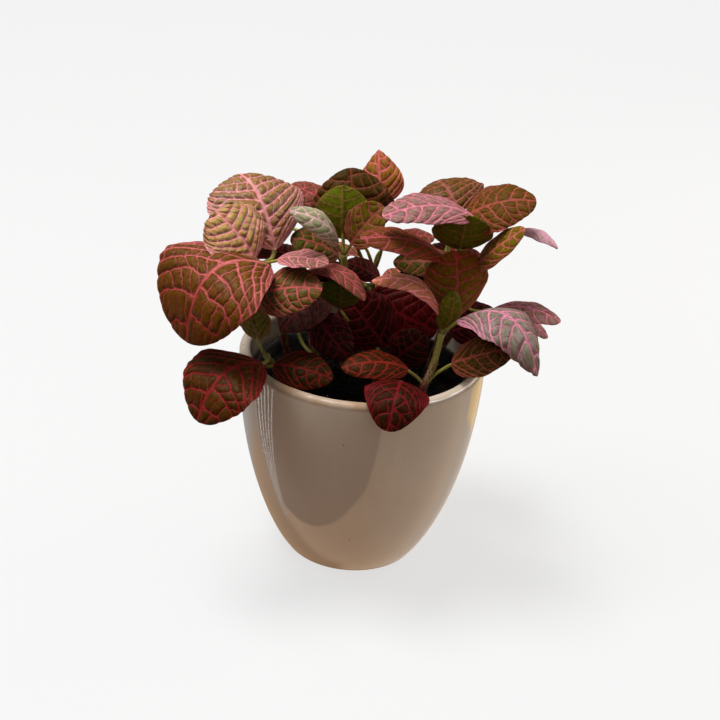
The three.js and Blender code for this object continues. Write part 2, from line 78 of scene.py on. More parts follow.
STEMS = {
    "stem_left": stem(
        (-38, 2), [(-42, -2, 122), (-48, -6, 148), (-52, -10, 166)],
        leaf(2, (-50, -15, 167), (-86, -49, 138), 68, (-3, -4, 9), 23, (20, 0), "bronze", 0.56, fade="rust"),
        leaf(2, (-57, -14, 170), (-78, -8, 191), 43, (5, -8, 6), 3, (-15, 20), "gold",
             0.5, swell=1.3, veins=6, lean=0.62),
        leaf(2, (-48, -4, 171), (-70, 28, 199), 57, (3, -7, 7), 10, (20, 30), "rose_olive",
             0.56, swell=1.25, veins=7, lean=0.6),
        leaf(2, (-45, -18, 172), (-20, -26, 174), 20, (0, 0, 9), 2, (-10, 20), "blush", swell=0.4),
        leaf(1, (-55, -24, 153), (-22, -33, 164), 30, (0, -6, 8), 5, 25, "moss", swell=0.75, veins=6),
    ),
    "stem_left_low": stem(
        (-43, -15), [(-45, -19, 112), (-49, -26, 122)],
        leaf(1, (-50, -40, 125), (-78, -66, 104), 45, (-2, -4, 9), 13, (20, 5), "umber", 0.52),
        leaf(0, (-44, -38, 123), (-14, -47, 122), 22, (0, -5, 7), 4, (20, 30), "grove", swell=0.4),
        leaf(1, (-53, -22, 129), (-62, -24, 150), 22, (3, 8, 4), 1, -10, "olive", swell=0.4),
    ),
    "stem_middle": stem(
        (-10, 10), [(-11, 8, 122), (-12, 4, 150), (-13, -1, 170)],
        leaf(2, (-16, -4, 177), (-40, -20, 198), 17, (6, -6, 9), 6, (50, 30), "sage", swell=0.5),
        leaf(2, (-14, 1, 178), (-16, 6, 204), 30, (0, 9, 2), -3, -25, "lime", swell=0.4),
        leaf(2, (-10, -4, 177), (5, -6, 199), 22, (-3, -7, 4), 2, -10, "thicket", swell=0.5),
        leaf(1, (-32, -10, 163), (-1, -28, 157), 15, (1, 0, 9), 8, (-10, 30), "wine", swell=0.3),
        leaf(1, (-16, 12, 164), (-41, 6, 174), 24, (0, -6, 8), 4, 25, "pine", swell=0.5),
        leaf(0, (-11, 14, 143), (-29, 14, 155), 22, (0, -7, 5), 3, 20, "night", swell=0.4),
        leaf(1, (6, 8, 155), (-12, 6, 163), 13, (0, -6, 7), 2, 20, "night", swell=0.3),
    ),
    "stem_middle_back": stem(
        (2, 30), [(3, 31, 122), (3, 30, 149)],
        leaf(1, (-8, 19, 170), (-13, 26, 207), 46, (0, -8, 3), 7, 30, "sepia", swell=0.6),
        leaf(1, (5, 30, 187), (1, 45, 212), 26, (-2, -7, 4), 3, 20, "amber", 0.36, 0.8, swell=0.6),
        leaf(1, (-14, 30, 178), (-44, 34, 193), 22, (0, -4, 9), 3, 20, "wine", swell=0.5),
        leaf(1, (13, 32, 168), (34, 37, 168), 14, (0, -4, 9), 2, 20, "wine", swell=0.3),
    ),
    "stem_right": stem(
        (36, 12), [(40, 8, 122), (43, 4, 150), (45, 4, 172), (46, 6, 188)],
        leaf(3, (50, 0, 195), (5, -22, 199), 27, (-1, -2, 9), 6, (35, 0), "mauve", swell=0.8, veins=6),
        leaf(3, (44, 13, 192), (32, 36, 200), 43, (-1, -4, 9), 5, 25, "russet", swell=0.8),
        leaf(3, (47, 9, 191), (81, 3, 204), 33, (-1, -5, 9), 5, 25, "copper", 0.38, 0.42, swell=0.5),
        leaf(2, (45, 0, 177), (46, -9, 198), 32, (0, 8, 4), -2, -20, "lime", swell=0.4),
        leaf(2, (54, -2, 168), (75, -14, 195), 16, (-6, -6, 8), 2, (15, 20), "reed", swell=0.3),
        leaf(2, (37, 0, 173), (-5, -30, 190), 22, (0, -4, 9), 5, (30, 20), "brick", swell=0.3, fade="wine"),
        leaf(1, (47, -7, 142), (43, -6, 178), 35, (1, -9, 2), 4, 30, "loden", 0.62, swell=0.5, fade="brick"),
    ),
    "stem_right_low": stem(
        (31, -30), [(32, -32, 114), (36, -26, 123), (39, -20, 138)],
        leaf(0, (23, -34, 124), (-10, -44, 127), 20, (0, -4, 9), 5, (30, 25), "ember", swell=0.3),
        leaf(0, (45, -28, 126), (74, -42, 144), 24, (-2, -6, 8), 1, 10, "olive_night", swell=0.5),
        leaf(2, (46, -22, 147), (85, -52, 134), 42, (4, -3, 9), 19, 35, "dusk",
             blunt=0.66, swell=0.95, veins=6.5),
        leaf(2, (38, -18, 148), (2, -22, 165), 18, (2, -1, 9), 10, (40, 20), "rosy", swell=0.4),
        leaf(2, (40, -19, 140), (43, -17, 161), 15, (-3, 8, 3), -3, (-30, -50), "lime", swell=0.3),
    ),
    "stem_front": stem(
        (14, -34), [(17, -36, 110), (20, -38, 118)],
        leaf(1, (20, -46, 123), (14, -77, 112), 34, (0, -5, 9), 9, 30, "garnet",
             0.36, 0.4, swell=0.4, veins=5, lean=0.7),
    ),
    "stem_middle_low": stem(
        (8, -8), [(8, -8, 112), (7, -6, 124)],
        leaf(1, (12, -6, 122), (-10, -4, 148), 34, (-1, -7, 4), 4, 20, "ruby", 0.52, swell=0.4),
        leaf(1, (0, 8, 143), (38, 2, 129), 34, (0, -8, 4), 4, 20, "heart", swell=0.4),
        leaf(0, (10, 20, 132), (44, 24, 150), 30, (0, -8, 4), 4, 20, "night", swell=0.4),
        leaf(0, (16, -12, 117), (31, -15, 135), 22, (-1, -8, 3), 3, 20, "night", swell=0.4),
        leaf(1, (-13, -14, 146), (-13, -19, 164), 24, (0, 9, 2), -3, -20, "fern", 0.6, swell=0.3),
    ),
    "stem_left_middle": stem(
        (-24, -4), [(-25, -3, 112), (-26, -2, 128)],
        leaf(1, (-25, -8, 138), (-7, -24, 122), 22, (-2, -8, 6), 6, 20, "plum", swell=0.4),
        leaf(1, (-20, 0, 152), (-42, -20, 134), 26, (-2, -8, 5), 6, (20, 25), "dusky", swell=0.4),
        leaf(0, (-36, 10, 120), (-30, 4, 148), 28, (0, -8, 3), 3, 20, "night", swell=0.4),
    ),
    "stem_right_back": stem(
        (38, 22), [(48, 24, 120), (52, 20, 138), (56, 15, 164)],
        leaf(1, (66, 4, 143), (100, -8, 144), 20, (0, -2, 9), 5, 30, "mauve", swell=0.4),
        leaf(1, (70, 14, 138), (97, 6, 128), 16, (2, -2, 9), 4, 20, "mauve", swell=0.4),
        leaf(2, (74, 8, 186), (95, 2, 180), 13, (0, -1, 9), 4, 30, "petal", blunt=0.7, swell=0.2),
        leaf(0, (60, 36, 121), (92, 54, 106), 34, (1, 1, 9), 8, 30, "bronze"),
        leaf(0, (52, 44, 122), (62, 80, 106), 34, (3, 3, 9), 9, 30, "umber"),
        leaf(2, (48, 22, 160), (13, 28, 156), 18, (0, -6, 7), 2, 20, "pine", swell=0.3),
        leaf(0, (46, 18, 122), (70, 8, 138), 24, (-2, -8, 4), 3, 20, "plum", swell=0.4),
    ),
    "stem_back_left": stem(
        (-28, 32), [(-32, 36, 122), (-36, 40, 148), (-38, 43, 164)],
        leaf(2, (-44, 46, 166), (-80, 58, 157), 36, (-1, 0, 9), 8, 30, "bronze"),
        leaf(2, (-36, 50, 168), (-42, 84, 158), 36, (0, 2, 9), 8, 30, "rose_olive"),
        leaf(1, (-44, 50, 146), (-70, 74, 132), 34, (-1, 1, 9), 8, 30, "umber"),
        leaf(1, (-28, 46, 150), (-6, 62, 146), 30, (0, 1, 9), 6, 30, "bronze"),
        leaf(0, (-40, 44, 124), (-62, 68, 112), 34, (-2, 3, 9), 10, 30, "rust"),
    ),
    "stem_back": stem(
        (4, 42), [(4, 47, 116), (4, 50, 130)],
        leaf(1, (-2, 54, 132), (-24, 78, 124), 34, (-1, 2, 9), 8, 30, "olive"),
        leaf(1, (12, 54, 132), (34, 78, 124), 34, (1, 2, 9), 8, 30, "bronze"),
        leaf(0, (4, 56, 121), (6, 88, 108), 34, (0, 3, 9), 9, 30, "umber"),
    ),
    "stem_back_right": stem(
        (26, 34), [(34, 40, 124), (41, 45, 150), (44, 48, 168)],
        leaf(2, (38, 52, 171), (18, 74, 168), 32, (0, 1, 9), 7, 30, "rose_olive"),
        leaf(2, (50, 52, 171), (76, 66, 164), 34, (1, 1, 9), 7, 30, "bronze"),
        leaf(1, (44, 54, 150), (52, 84, 140), 34, (1, 3, 9), 8, 30, "umber"),
    ),
}

# A leaf's look: blade, veins, underside blade and underside veins, each as an everyday screen colour,
# and how much painted pale mauve sheen, a painted reflection, lies on it.
LOOKS = {
    "gold": ("#ac8046", "#ffb0ac", "#5d6418", "#b79a76", 0.15),
    "olive": ("#82661a", "#ec7c7a", "#5d6418", "#b79a76", 0.1),
    "rose_olive": ("#845a2c", "#ffb0ae", "#5d6418", "#b79a76", 0.1),
    "russet": ("#583a06", "#b06a5a", "#5d6418", "#b79a76", 0.0),
    "bronze": ("#5e3806", "#e07a78", "#5d6418", "#b79a76", 0.0),
    "rust": ("#522c00", "#b03a38", "#5a5414", "#b79a76", 0.0),
    "moss": ("#4e4004", "#ce6660", "#4e5a1c", "#b79a76", 0.05),
    "grove": ("#201402", "#7c1e16", "#3c4410", "#a87a5c", 0.0),
    "pine": ("#403e0c", "#b0604c", "#3c4410", "#a87a5c", 0.0),
    "rosy": ("#b8684a", "#fca8a0", "#6a641c", "#b79a76", 0.3),
    "reed": ("#6a5408", "#d07c62", "#5d6418", "#b79a76", 0.0),
    "sage": ("#989a7a", "#fadcd0", "#4e6a20", "#b79a76", 0.7),
    # umber is partly the leaf's own dark tone and partly painted shade for low leaves under the canopy.
    "umber": ("#402404", "#a02a2e", "#4a5214", "#a88a66", 0.0),
    "loden": ("#76600e", "#c86e62", "#4a5214", "#a88a66", 0.0),
    "sepia": ("#3a2600", "#8a4632", "#4a5214", "#a88a66", 0.0),
    "thicket": ("#5e4c0a", "#b0604e", "#4a5214", "#a88a66", 0.0),
    "brick": ("#6a3c0c", "#c04844", "#5a5414", "#b79a76", 0.0),
    "amber": ("#865612", "#ec7a78", "#66641a", "#b79a76", 0.0),
    "copper": ("#543604", "#ae5c48", "#66641a", "#b79a76", 0.0),
    "blush": ("#84504a", "#e89a9c", "#6a641c", "#b79a76", 0.4),
    "petal": ("#deaac0", "#eec6d8", "#6a641c", "#b79a76", 0.9),
    "wine": ("#6a3620", "#c46464", "#4a4418", "#a87a66", 0.25),
    "dusky": ("#4a2824", "#8e4c4c", "#4a4418", "#a87a66", 0.3),
    "mauve": ("#865854", "#ea94a4", "#626a1e", "#b79a76", 0.7),
    "dusk": ("#6a6258", "#ea9ab0", "#5f7a24", "#c0a07a", 0.8),
    "lime": ("#604c1e", "#d0626c", "#58580a", "#8e7e3c", 0.0),
    "fern": ("#604c1e", "#d0626c", "#3c440a", "#746438", 0.0),
    # night, garnet and heart are partly the leaves' own deep tone and partly painted shade for leaves low and
    # deep in the plant.
    "night": ("#1c0c02", "#64161a", "#2c3008", "#785a40", 0.0),
    "olive_night": ("#3c2a02", "#a05440", "#3c4410", "#a87a5c", 0.0),
    "ember": ("#2c1400", "#8c2a1c", "#4a4a14", "#a8705c", 0.0),
    "plum": ("#2c1010", "#7a222e", "#3c3410", "#986050", 0.0),
    "garnet": ("#240c00", "#7a141e", "#3c3410", "#986050", 0.0),
    "ruby": ("#2c0604", "#7c1c24", "#3a2410", "#783a30", 0.0),
    "heart": ("#380304", "#74101a", "#3a2410", "#783a30", 0.0),
}


# -------- values a user would change

class NervePotSettings(bpy.types.PropertyGroup):
    height: bpy.props.FloatProperty(
        name="Height", description="Height of the cover pot", default=118 * MM, unit="LENGTH")
    rim_radius: bpy.props.FloatProperty(
        name="Rim radius", description="Outer radius at the rim", default=65 * MM, unit="LENGTH")
    foot_radius: bpy.props.FloatProperty(
        name="Foot radius", description="Outer radius at the foot", default=36 * MM, unit="LENGTH")
    wall: bpy.props.FloatProperty(
        name="Wall", description="Thickness of the pot's wall", default=6 * MM, unit="LENGTH")
    floor: bpy.props.FloatProperty(
        name="Inside floor", description="Height of the floor inside", default=8 * MM, unit="LENGTH")
    glaze: bpy.props.FloatVectorProperty(
        name="Glaze", description="Colour of the glaze", default=(0.80, 0.69, 0.57), subtype="COLOR")


class NervePlantSettings(bpy.types.PropertyGroup):
    sheet_step: bpy.props.FloatProperty(
        name="Mesh step", description="Distance between a blade's points", default=0.8 * MM, unit="LENGTH")
    thickness: bpy.props.FloatProperty(
        name="Thickness", description="Thickness of a leaf blade", default=0.5 * MM, unit="LENGTH")
    stem_radius: bpy.props.FloatProperty(
        name="Stem radius", description="Radius of a stem at the soil", default=2.1 * MM, unit="LENGTH")
    hairs: bpy.props.FloatProperty(
        name="Hairs", description="Hairs on each square millimetre of stem", default=0.5, min=0)
    stem_red: bpy.props.FloatVectorProperty(
        name="Stem red", description="Colour low on a stem", default=(0.13, 0.018, 0.02), subtype="COLOR")
    stem_green: bpy.props.FloatVectorProperty(
        name="Stem green", description="Colour of the stalks", default=(0.36, 0.34, 0.06), subtype="COLOR")


class NerveStageSettings(bpy.types.PropertyGroup):
    floor: bpy.props.FloatVectorProperty(
        name="Floor", description="Colour of the floor", default=(0.2, 0.2, 0.2), subtype="COLOR")
    glow: bpy.props.FloatProperty(
        name="Floor glow", description="Light that the floor gives off", default=0.675, min=0)
    backdrop: bpy.props.FloatProperty(
        name="Backdrop", description="Brightness behind the floor", default=0.92, min=0)
    key: bpy.props.FloatProperty(
        name="Skylight", description="Strength of the broad light from above", default=2.6, min=0)
    glints: bpy.props.FloatProperty(
        name="Window light", description="Power of the small lights", default=4, min=0, unit="POWER")
    room_above: bpy.props.FloatVectorProperty(
        name="Room above", description="Light from above", default=(0.34, 0.34, 0.34), subtype="COLOR")
    room_side: bpy.props.FloatVectorProperty(
        name="Room around", description="Light from the sides", default=(0.15, 0.13, 0.11), subtype="COLOR")
    room_below: bpy.props.FloatVectorProperty(
        name="Room below", description="Warm light thrown up", default=(0.42, 0.22, 0.125), subtype="COLOR")


# -------- shader maths as Python expressions

class Wire:
    """A socket that is used in sums as a number would be."""

    def __init__(self, nodes, socket):
        self.nodes, self.socket = nodes, socket

    def math(self, operation, *others):
        return self.nodes.math(operation, self, *others)

    def __add__(self, other):
        return self.math("ADD", other)

    def __mul__(self, other):
        return self.math("MULTIPLY", other)

    def __sub__(self, other):
        return self.math("SUBTRACT", other)

    def __truediv__(self, other):
        return self.math("DIVIDE", other)

    def __pow__(self, other):
        return self.math("POWER", other)

    def __abs__(self):
        return self.math("ABSOLUTE")

    def __rsub__(self, other):
        return self.nodes.math("SUBTRACT", other, self)

    def __rtruediv__(self, other):
        return self.nodes.math("DIVIDE", other, self)

    __radd__ = __add__
    __rmul__ = __mul__

    def over(self, other):
        return self.math("GREATER_THAN", other)

    def least(self, other):
        return self.math("MINIMUM", other)

    def most(self, other):
        return self.math("MAXIMUM", other)

    def ease(self, low, high, start=0.0, end=1.0):
        """A smooth step from start at low to end at high."""
        return self.nodes.add(
            "ShaderNodeMapRange", {"interpolation_type": "SMOOTHSTEP"}, [self, low, high, start, end])

    def bulge(self, width):
        """Rises from a sharp crease at 0 to a round crown at 1 over that width."""
        return 1 - (1 - (self / width).most(0.0).least(1.0)) ** 2

    def parts(self):
        """The three numbers of a vector."""
        node = self.nodes.add("ShaderNodeSeparateXYZ", {}, [self]).socket.node
        return [Wire(self.nodes, socket) for socket in node.outputs]

    def scaled(self, factor):
        sockets = {"Vector": self, "Scale": factor}
        return self.nodes.add("ShaderNodeVectorMath", {"operation": "SCALE"}, sockets)


class Nodes:
    """The nodes of one tree. Its add method makes any node."""

    def __init__(self, tree):
        self.tree = tree
        tree.nodes.clear()

    def add(self, kind, settings, inputs, output=0):
        node = self.tree.nodes.new(kind)
        for name, value in settings.items():
            setattr(node, name, value)
        for key, value in (inputs.items() if isinstance(inputs, dict) else enumerate(inputs)):
            if isinstance(value, Wire):
                self.tree.links.new(value.socket, node.inputs[key])
            else:
                node.inputs[key].default_value = value
        return Wire(self, node.outputs[output]) if node.outputs else None

    def math(self, operation, *values):
        return self.add("ShaderNodeMath", {"operation": operation}, values)

    def vector(self, name):
        return self.add("ShaderNodeAttribute", {"attribute_name": name}, {}, "Vector")

    def colour(self, name):
        return self.add("ShaderNodeAttribute", {"attribute_name": name}, {}, "Color")

    def mix(self, factor, first, second, how="MIX"):
        """Two colours mixed: first where factor is 0, second where it is 1."""
        first, second = ((*c, 1.0) if isinstance(c, tuple) else c for c in (first, second))
        return self.add(
            "ShaderNodeMix", {"data_type": "RGBA", "blend_type": how}, {0: factor, 6: first, 7: second}, 2)

    def tinted(self, colour, tint):
        return self.mix(1.0, colour, tint, "MULTIPLY")

    def joined(self, x, y, z):
        return self.add("ShaderNodeCombineXYZ", {}, [x, y, z])

    def stretched(self, place, rate):
        """A place that runs slower upwards, which draws a texture out along the height."""
        return self.add("ShaderNodeMapping", {}, {"Vector": place, "Scale": (1, 1, rate)})

    def noise(self, place, scale, detail=2.0, output=0, roughness=0.5):
        sockets = {"Vector": place, "Scale": scale, "Detail": detail, "Roughness": roughness}
        return self.add("ShaderNodeTexNoise", {}, sockets, output)

    def cells(self, place, scale, feature="F1", output=0):
        sockets = {"Vector": place, "Scale": scale}
        return self.add("ShaderNodeTexVoronoi", {"feature": feature}, sockets, output)

    def draws(self, place):
        """Three fixed random numbers for each whole place."""
        return self.add("ShaderNodeTexWhiteNoise", {"noise_dimensions": "3D"}, [place], 1).parts()

    def millimetres(self):
        """The place on the object, in millimetres."""
        return self.add("ShaderNodeTexCoord", {}, {}, "Object").scaled(1 / MM)

    def bump(self, height, distance, strength=1.0, under=None):
        sockets = {"Height": height, "Distance": distance, "Strength": strength}
        if under:
            sockets["Normal"] = under
        return self.add("ShaderNodeBump", {}, sockets)


class ShapeNodes(Nodes):
    """The same, in a geometry tree, where an attribute has a node of its own."""

    def vector(self, name):
        return self.add("GeometryNodeInputNamedAttribute", {"data_type": "FLOAT_VECTOR"}, {"Name": name})


def made_material(name, recipe, *values):
    """The material of that name, made once. The recipe gives the sockets of its one principled shader."""
    material = bpy.data.materials.get(name)
    if material is None:
        material = bpy.data.materials.new(name)
        material.use_nodes = True
        nodes = Nodes(material.node_tree)
        shader = nodes.add("ShaderNodeBsdfPrincipled", {}, recipe(nodes, *values))
        nodes.add("ShaderNodeOutputMaterial", {}, {"Surface": shader})
    return material


def screen_colour(code):
    """A screen colour such as #6c5428 as the linear colour that shaders use."""
    shares = [int(code[start:start + 2], 16) / 255 for start in (1, 3, 5)]
    return [((s + 0.055) / 1.055) ** 2.4 if s > 0.04045 else s / 12.92 for s in shares]


def shaded(colour, factors):
    """A plain colour times one factor, or times a factor for each of its parts."""
    return tuple((np.array(colour) * factors).tolist())


# -------- the veins, shared by relief and colour

def vein_net(nodes):
    """The distance to each kind of vein over a blade, with its width, and what else its finish needs."""
    run, reach, gap = nodes.vector("vein_flow").parts()
    place = nodes.vector("blade_place")
    across, along, seed = place.parts()
    size, outward, _ = nodes.vector("blade_size").parts()

    number = seed.math("ROUND")
    side = across.over(0.0)
    drift = nodes.noise(place, 0.08, 1.0, 1).parts()
    fine_drift = nodes.noise(place, 0.34, 1.0, 1).parts()
    run = run + side * 0.4 + (drift[0] - 0.5) * 0.7 + (fine_drift[0] - 0.5) * 0.14
    row = run.math("FLOOR")
    inside = run - row
    draw = nodes.draws(nodes.joined(row, side, number))

    rung_step = 2.3 + size * 0.08
    climb = reach / rung_step + draw[0] + (inside - 0.5) * (draw[1] - 0.5) * 2.0 + (fine_drift[1] - 0.5) * 0.5
    step = climb.math("FLOOR")
    cell = nodes.draws(nodes.joined(row + number * 31.0, side, step))
    missing = cell[2].over(0.8) * FAR_OFF
    to_rung = (0.5 - abs(climb - step - 0.5)) * rung_step + missing

    spread = outward - 0.58 - draw[2] * 0.5
    fork_line = spread.ease(0.0, 0.35, 0.0, 0.5)
    to_fork = abs(inside - fork_line) * gap + spread.ease(0.0, -0.02, 0.0, FAR_OFF)

    scale = 0.4 + size * 0.007
    return {
        "rib": (abs(across + (fine_drift[2] - 0.5) * 0.5), scale * along.ease(0.0, size, 1.15, 0.4) + 0.06),
        "side": ((0.5 - abs(inside - 0.5)) * gap, scale * outward.ease(0.0, 1.0, 0.6, 0.36) + 0.04),
        "rung": (to_rung, scale * 0.4 + 0.05),
        "fork": (to_fork, scale * 0.38 + 0.05),
        "cell": cell, "outward": outward, "place": place, "size": size,
    }


def cell_swell(net):
    """How high a cell stands between its veins, from 0 on a vein to 1 in the cell's middle."""
    soft = 1.6 + net["size"] * 0.028
    to_rib, rib_width = net["rib"]
    rib = (to_rib - rib_width * 0.5).bulge(soft * 1.3)
    sides = net["side"][0].bulge(soft)
    rungs = net["rung"][0].bulge(soft * 0.8) * 0.7 + 0.3
    forks = net["fork"][0].bulge(soft * 0.8) * 0.6 + 0.4
    return rib * sides * rungs * forks


def relief_tree():
    """Lifts a blade's cells between its sunken veins, ribs its underside and notches its margin."""
    tree = bpy.data.node_groups.new("Blade relief", "GeometryNodeTree")
    for way in ("INPUT", "OUTPUT"):
        tree.interface.new_socket("Geometry", in_out=way, socket_type="NodeSocketGeometry")
    nodes = ShapeNodes(tree)
    source = nodes.add("NodeGroupInput", {}, {})
    net = vein_net(nodes)
    (to_rib, rib_width), (to_side, side_width) = net["rib"], net["side"]
    height, edge_notch, ridge = nodes.vector("blade_rise").parts()
    ridges = (to_rib.ease(rib_width * 1.6, 0.0) * 0.9).most(to_side.ease(side_width * 2.0, 0.0) * 0.3)
    rise = height * (cell_swell(net) - 0.3) - ridge * ridges
    notch = edge_notch * to_side.ease(2.2, 0.0) * net["outward"].ease(0.7, 1.0)
    lift = nodes.vector("lift").scaled(rise * MM)
    draw_in = nodes.vector("outline_way").scaled(notch * -MM)
    offset = nodes.add("ShaderNodeVectorMath", {"operation": "ADD"}, [lift, draw_in])
    moved = nodes.add("GeometryNodeSetPosition", {}, {"Geometry": source, "Offset": offset})
    nodes.add("NodeGroupOutput", {}, {"Geometry": moved})
    return tree


# -------- materials

def glaze_recipe(nodes, colour):
    """A glossy cream glaze with iron specks, matt and clay-brown over the lip, partly where it runs thin and
    partly as painted shade.
    """
    clay_and_shade, foot_tone, iron = (0.40, 0.24, 0.13), (0.30, 0.20, 0.13), (0.035, 0.022, 0.015)
    place = nodes.millimetres()
    x, y, height = place.parts()
    clouds = nodes.noise(place, 0.022, 3.0)
    runs = nodes.noise(nodes.stretched(place, 0.12), 0.12, 3.0)
    base = nodes.mix(clouds.ease(0.3, 0.7, 0.0, 0.5), colour, shaded(colour, (0.86, 0.84, 0.82)))
    base = nodes.mix(runs.ease(0.45, 0.75, 0.0, 0.25), base, shaded(colour, (1.12, 1.1, 1.05)))
    lip = height.ease(113.8, 116.0) * ((x * x + y * y) ** 0.5).ease(59.6, 61.0)
    # Painted shade on the lip: its clay brown is partly the thin glaze's own and partly painted shade, full
    # on a band from x -36 to 12 mm and 0.3 strong elsewhere.
    lip_shade_band = x.ease(-50.0, -36.0, 0.3, 1.0) * x.ease(12.0, 36.0, 1.0, 0.3)
    thin_and_shaded_lip = lip * nodes.noise(place, 0.06, 2.0).ease(0.35, 0.6, 0.65, 0.95) * lip_shade_band
    base = nodes.mix(thin_and_shaded_lip, base, clay_and_shade)
    # Darker and browner towards the foot.
    base = nodes.mix(height.ease(9.0, 0.0) * 0.5, base, foot_tone)
    speck_kind = nodes.cells(place, 0.16, output=1).parts()[0]
    specks = nodes.cells(place, 0.16).ease(0.075, 0.045) * speck_kind.over(0.955)
    base = nodes.mix(specks, base, iron)
    peel = nodes.noise(place, 0.35, 2.0) + nodes.noise(place, 1.4, 1.0) * 0.15
    return {
        "Base Color": base, "Roughness": clouds.ease(0.2, 0.8, 0.06, 0.1) + specks * 0.3 + thin_and_shaded_lip * 0.85,
        "Coat Weight": 0.7 - thin_and_shaded_lip * 0.7, "Coat Roughness": 0.04, "IOR": 1.5,
        "Normal": nodes.bump(peel + runs * 0.6, 0.00004, 0.5),
    }


def plastic_recipe(nodes):
    """Thin black moulded plastic, scuffed, with a dusty film of dried soil; its near-black is partly the
    plastic's own and partly painted shade.
    """
    place = nodes.millimetres()
    dust = nodes.noise(place, 0.25, 5.0, roughness=0.7).ease(0.45, 0.75)
    scuffs = nodes.noise(nodes.stretched(place, 0.2), 1.2, 4.0)
    return {
        # Painted shade: the plastic's black is darkened below its own tone, as if in the shade inside the
        # pot.
        "Base Color": nodes.mix(dust * 0.3, (0.006, 0.006, 0.006), (0.025, 0.018, 0.013)),
        "Roughness": dust.ease(0.0, 1.0, 0.38, 0.8), "IOR": 1.49, "Normal": nodes.bump(scuffs, 0.0002, 0.5),
    }


def mix_recipe(nodes):
    """Damp peat with fibres and paler dry crumbs, all far darker than peat's own colour as painted shade."""
    place = nodes.millimetres()
    crumbs = nodes.cells(place, 0.7, output=1).parts()
    grain = nodes.noise(place, 1.6, 5.0, roughness=0.7)
    # Painted shade: all three peat colours are darkened far below peat's own tone, as if in shade under the
    # leaves.
    wet_in_shade, damp_in_shade, dry_in_shade = (0.002, 0.0015, 0.001), (0.008, 0.005, 0.003), (0.016, 0.010, 0.006)
    base = nodes.mix(grain.ease(0.55, 0.8), nodes.mix(crumbs[0], wet_in_shade, damp_in_shade), dry_in_shade)
    return {
        "Base Color": base, "Roughness": grain.ease(0.3, 0.7, 0.75, 0.98), "Specular IOR Level": 0.08,
        "Normal": nodes.bump(grain + crumbs[1] * 0.4, 0.0008),
    }


def perlite_recipe(nodes):
    """White perlite, frothy and dusted with peat."""
    place = nodes.millimetres()
    dirt = nodes.noise(place, 0.8, 3.0).ease(0.5, 0.75)
    return {
        "Base Color": nodes.mix(dirt * 0.6, (0.62, 0.59, 0.53), (0.18, 0.13, 0.09)), "Roughness": 0.9,
        "Normal": nodes.bump(nodes.cells(place, 3.0), 0.0005),
    }


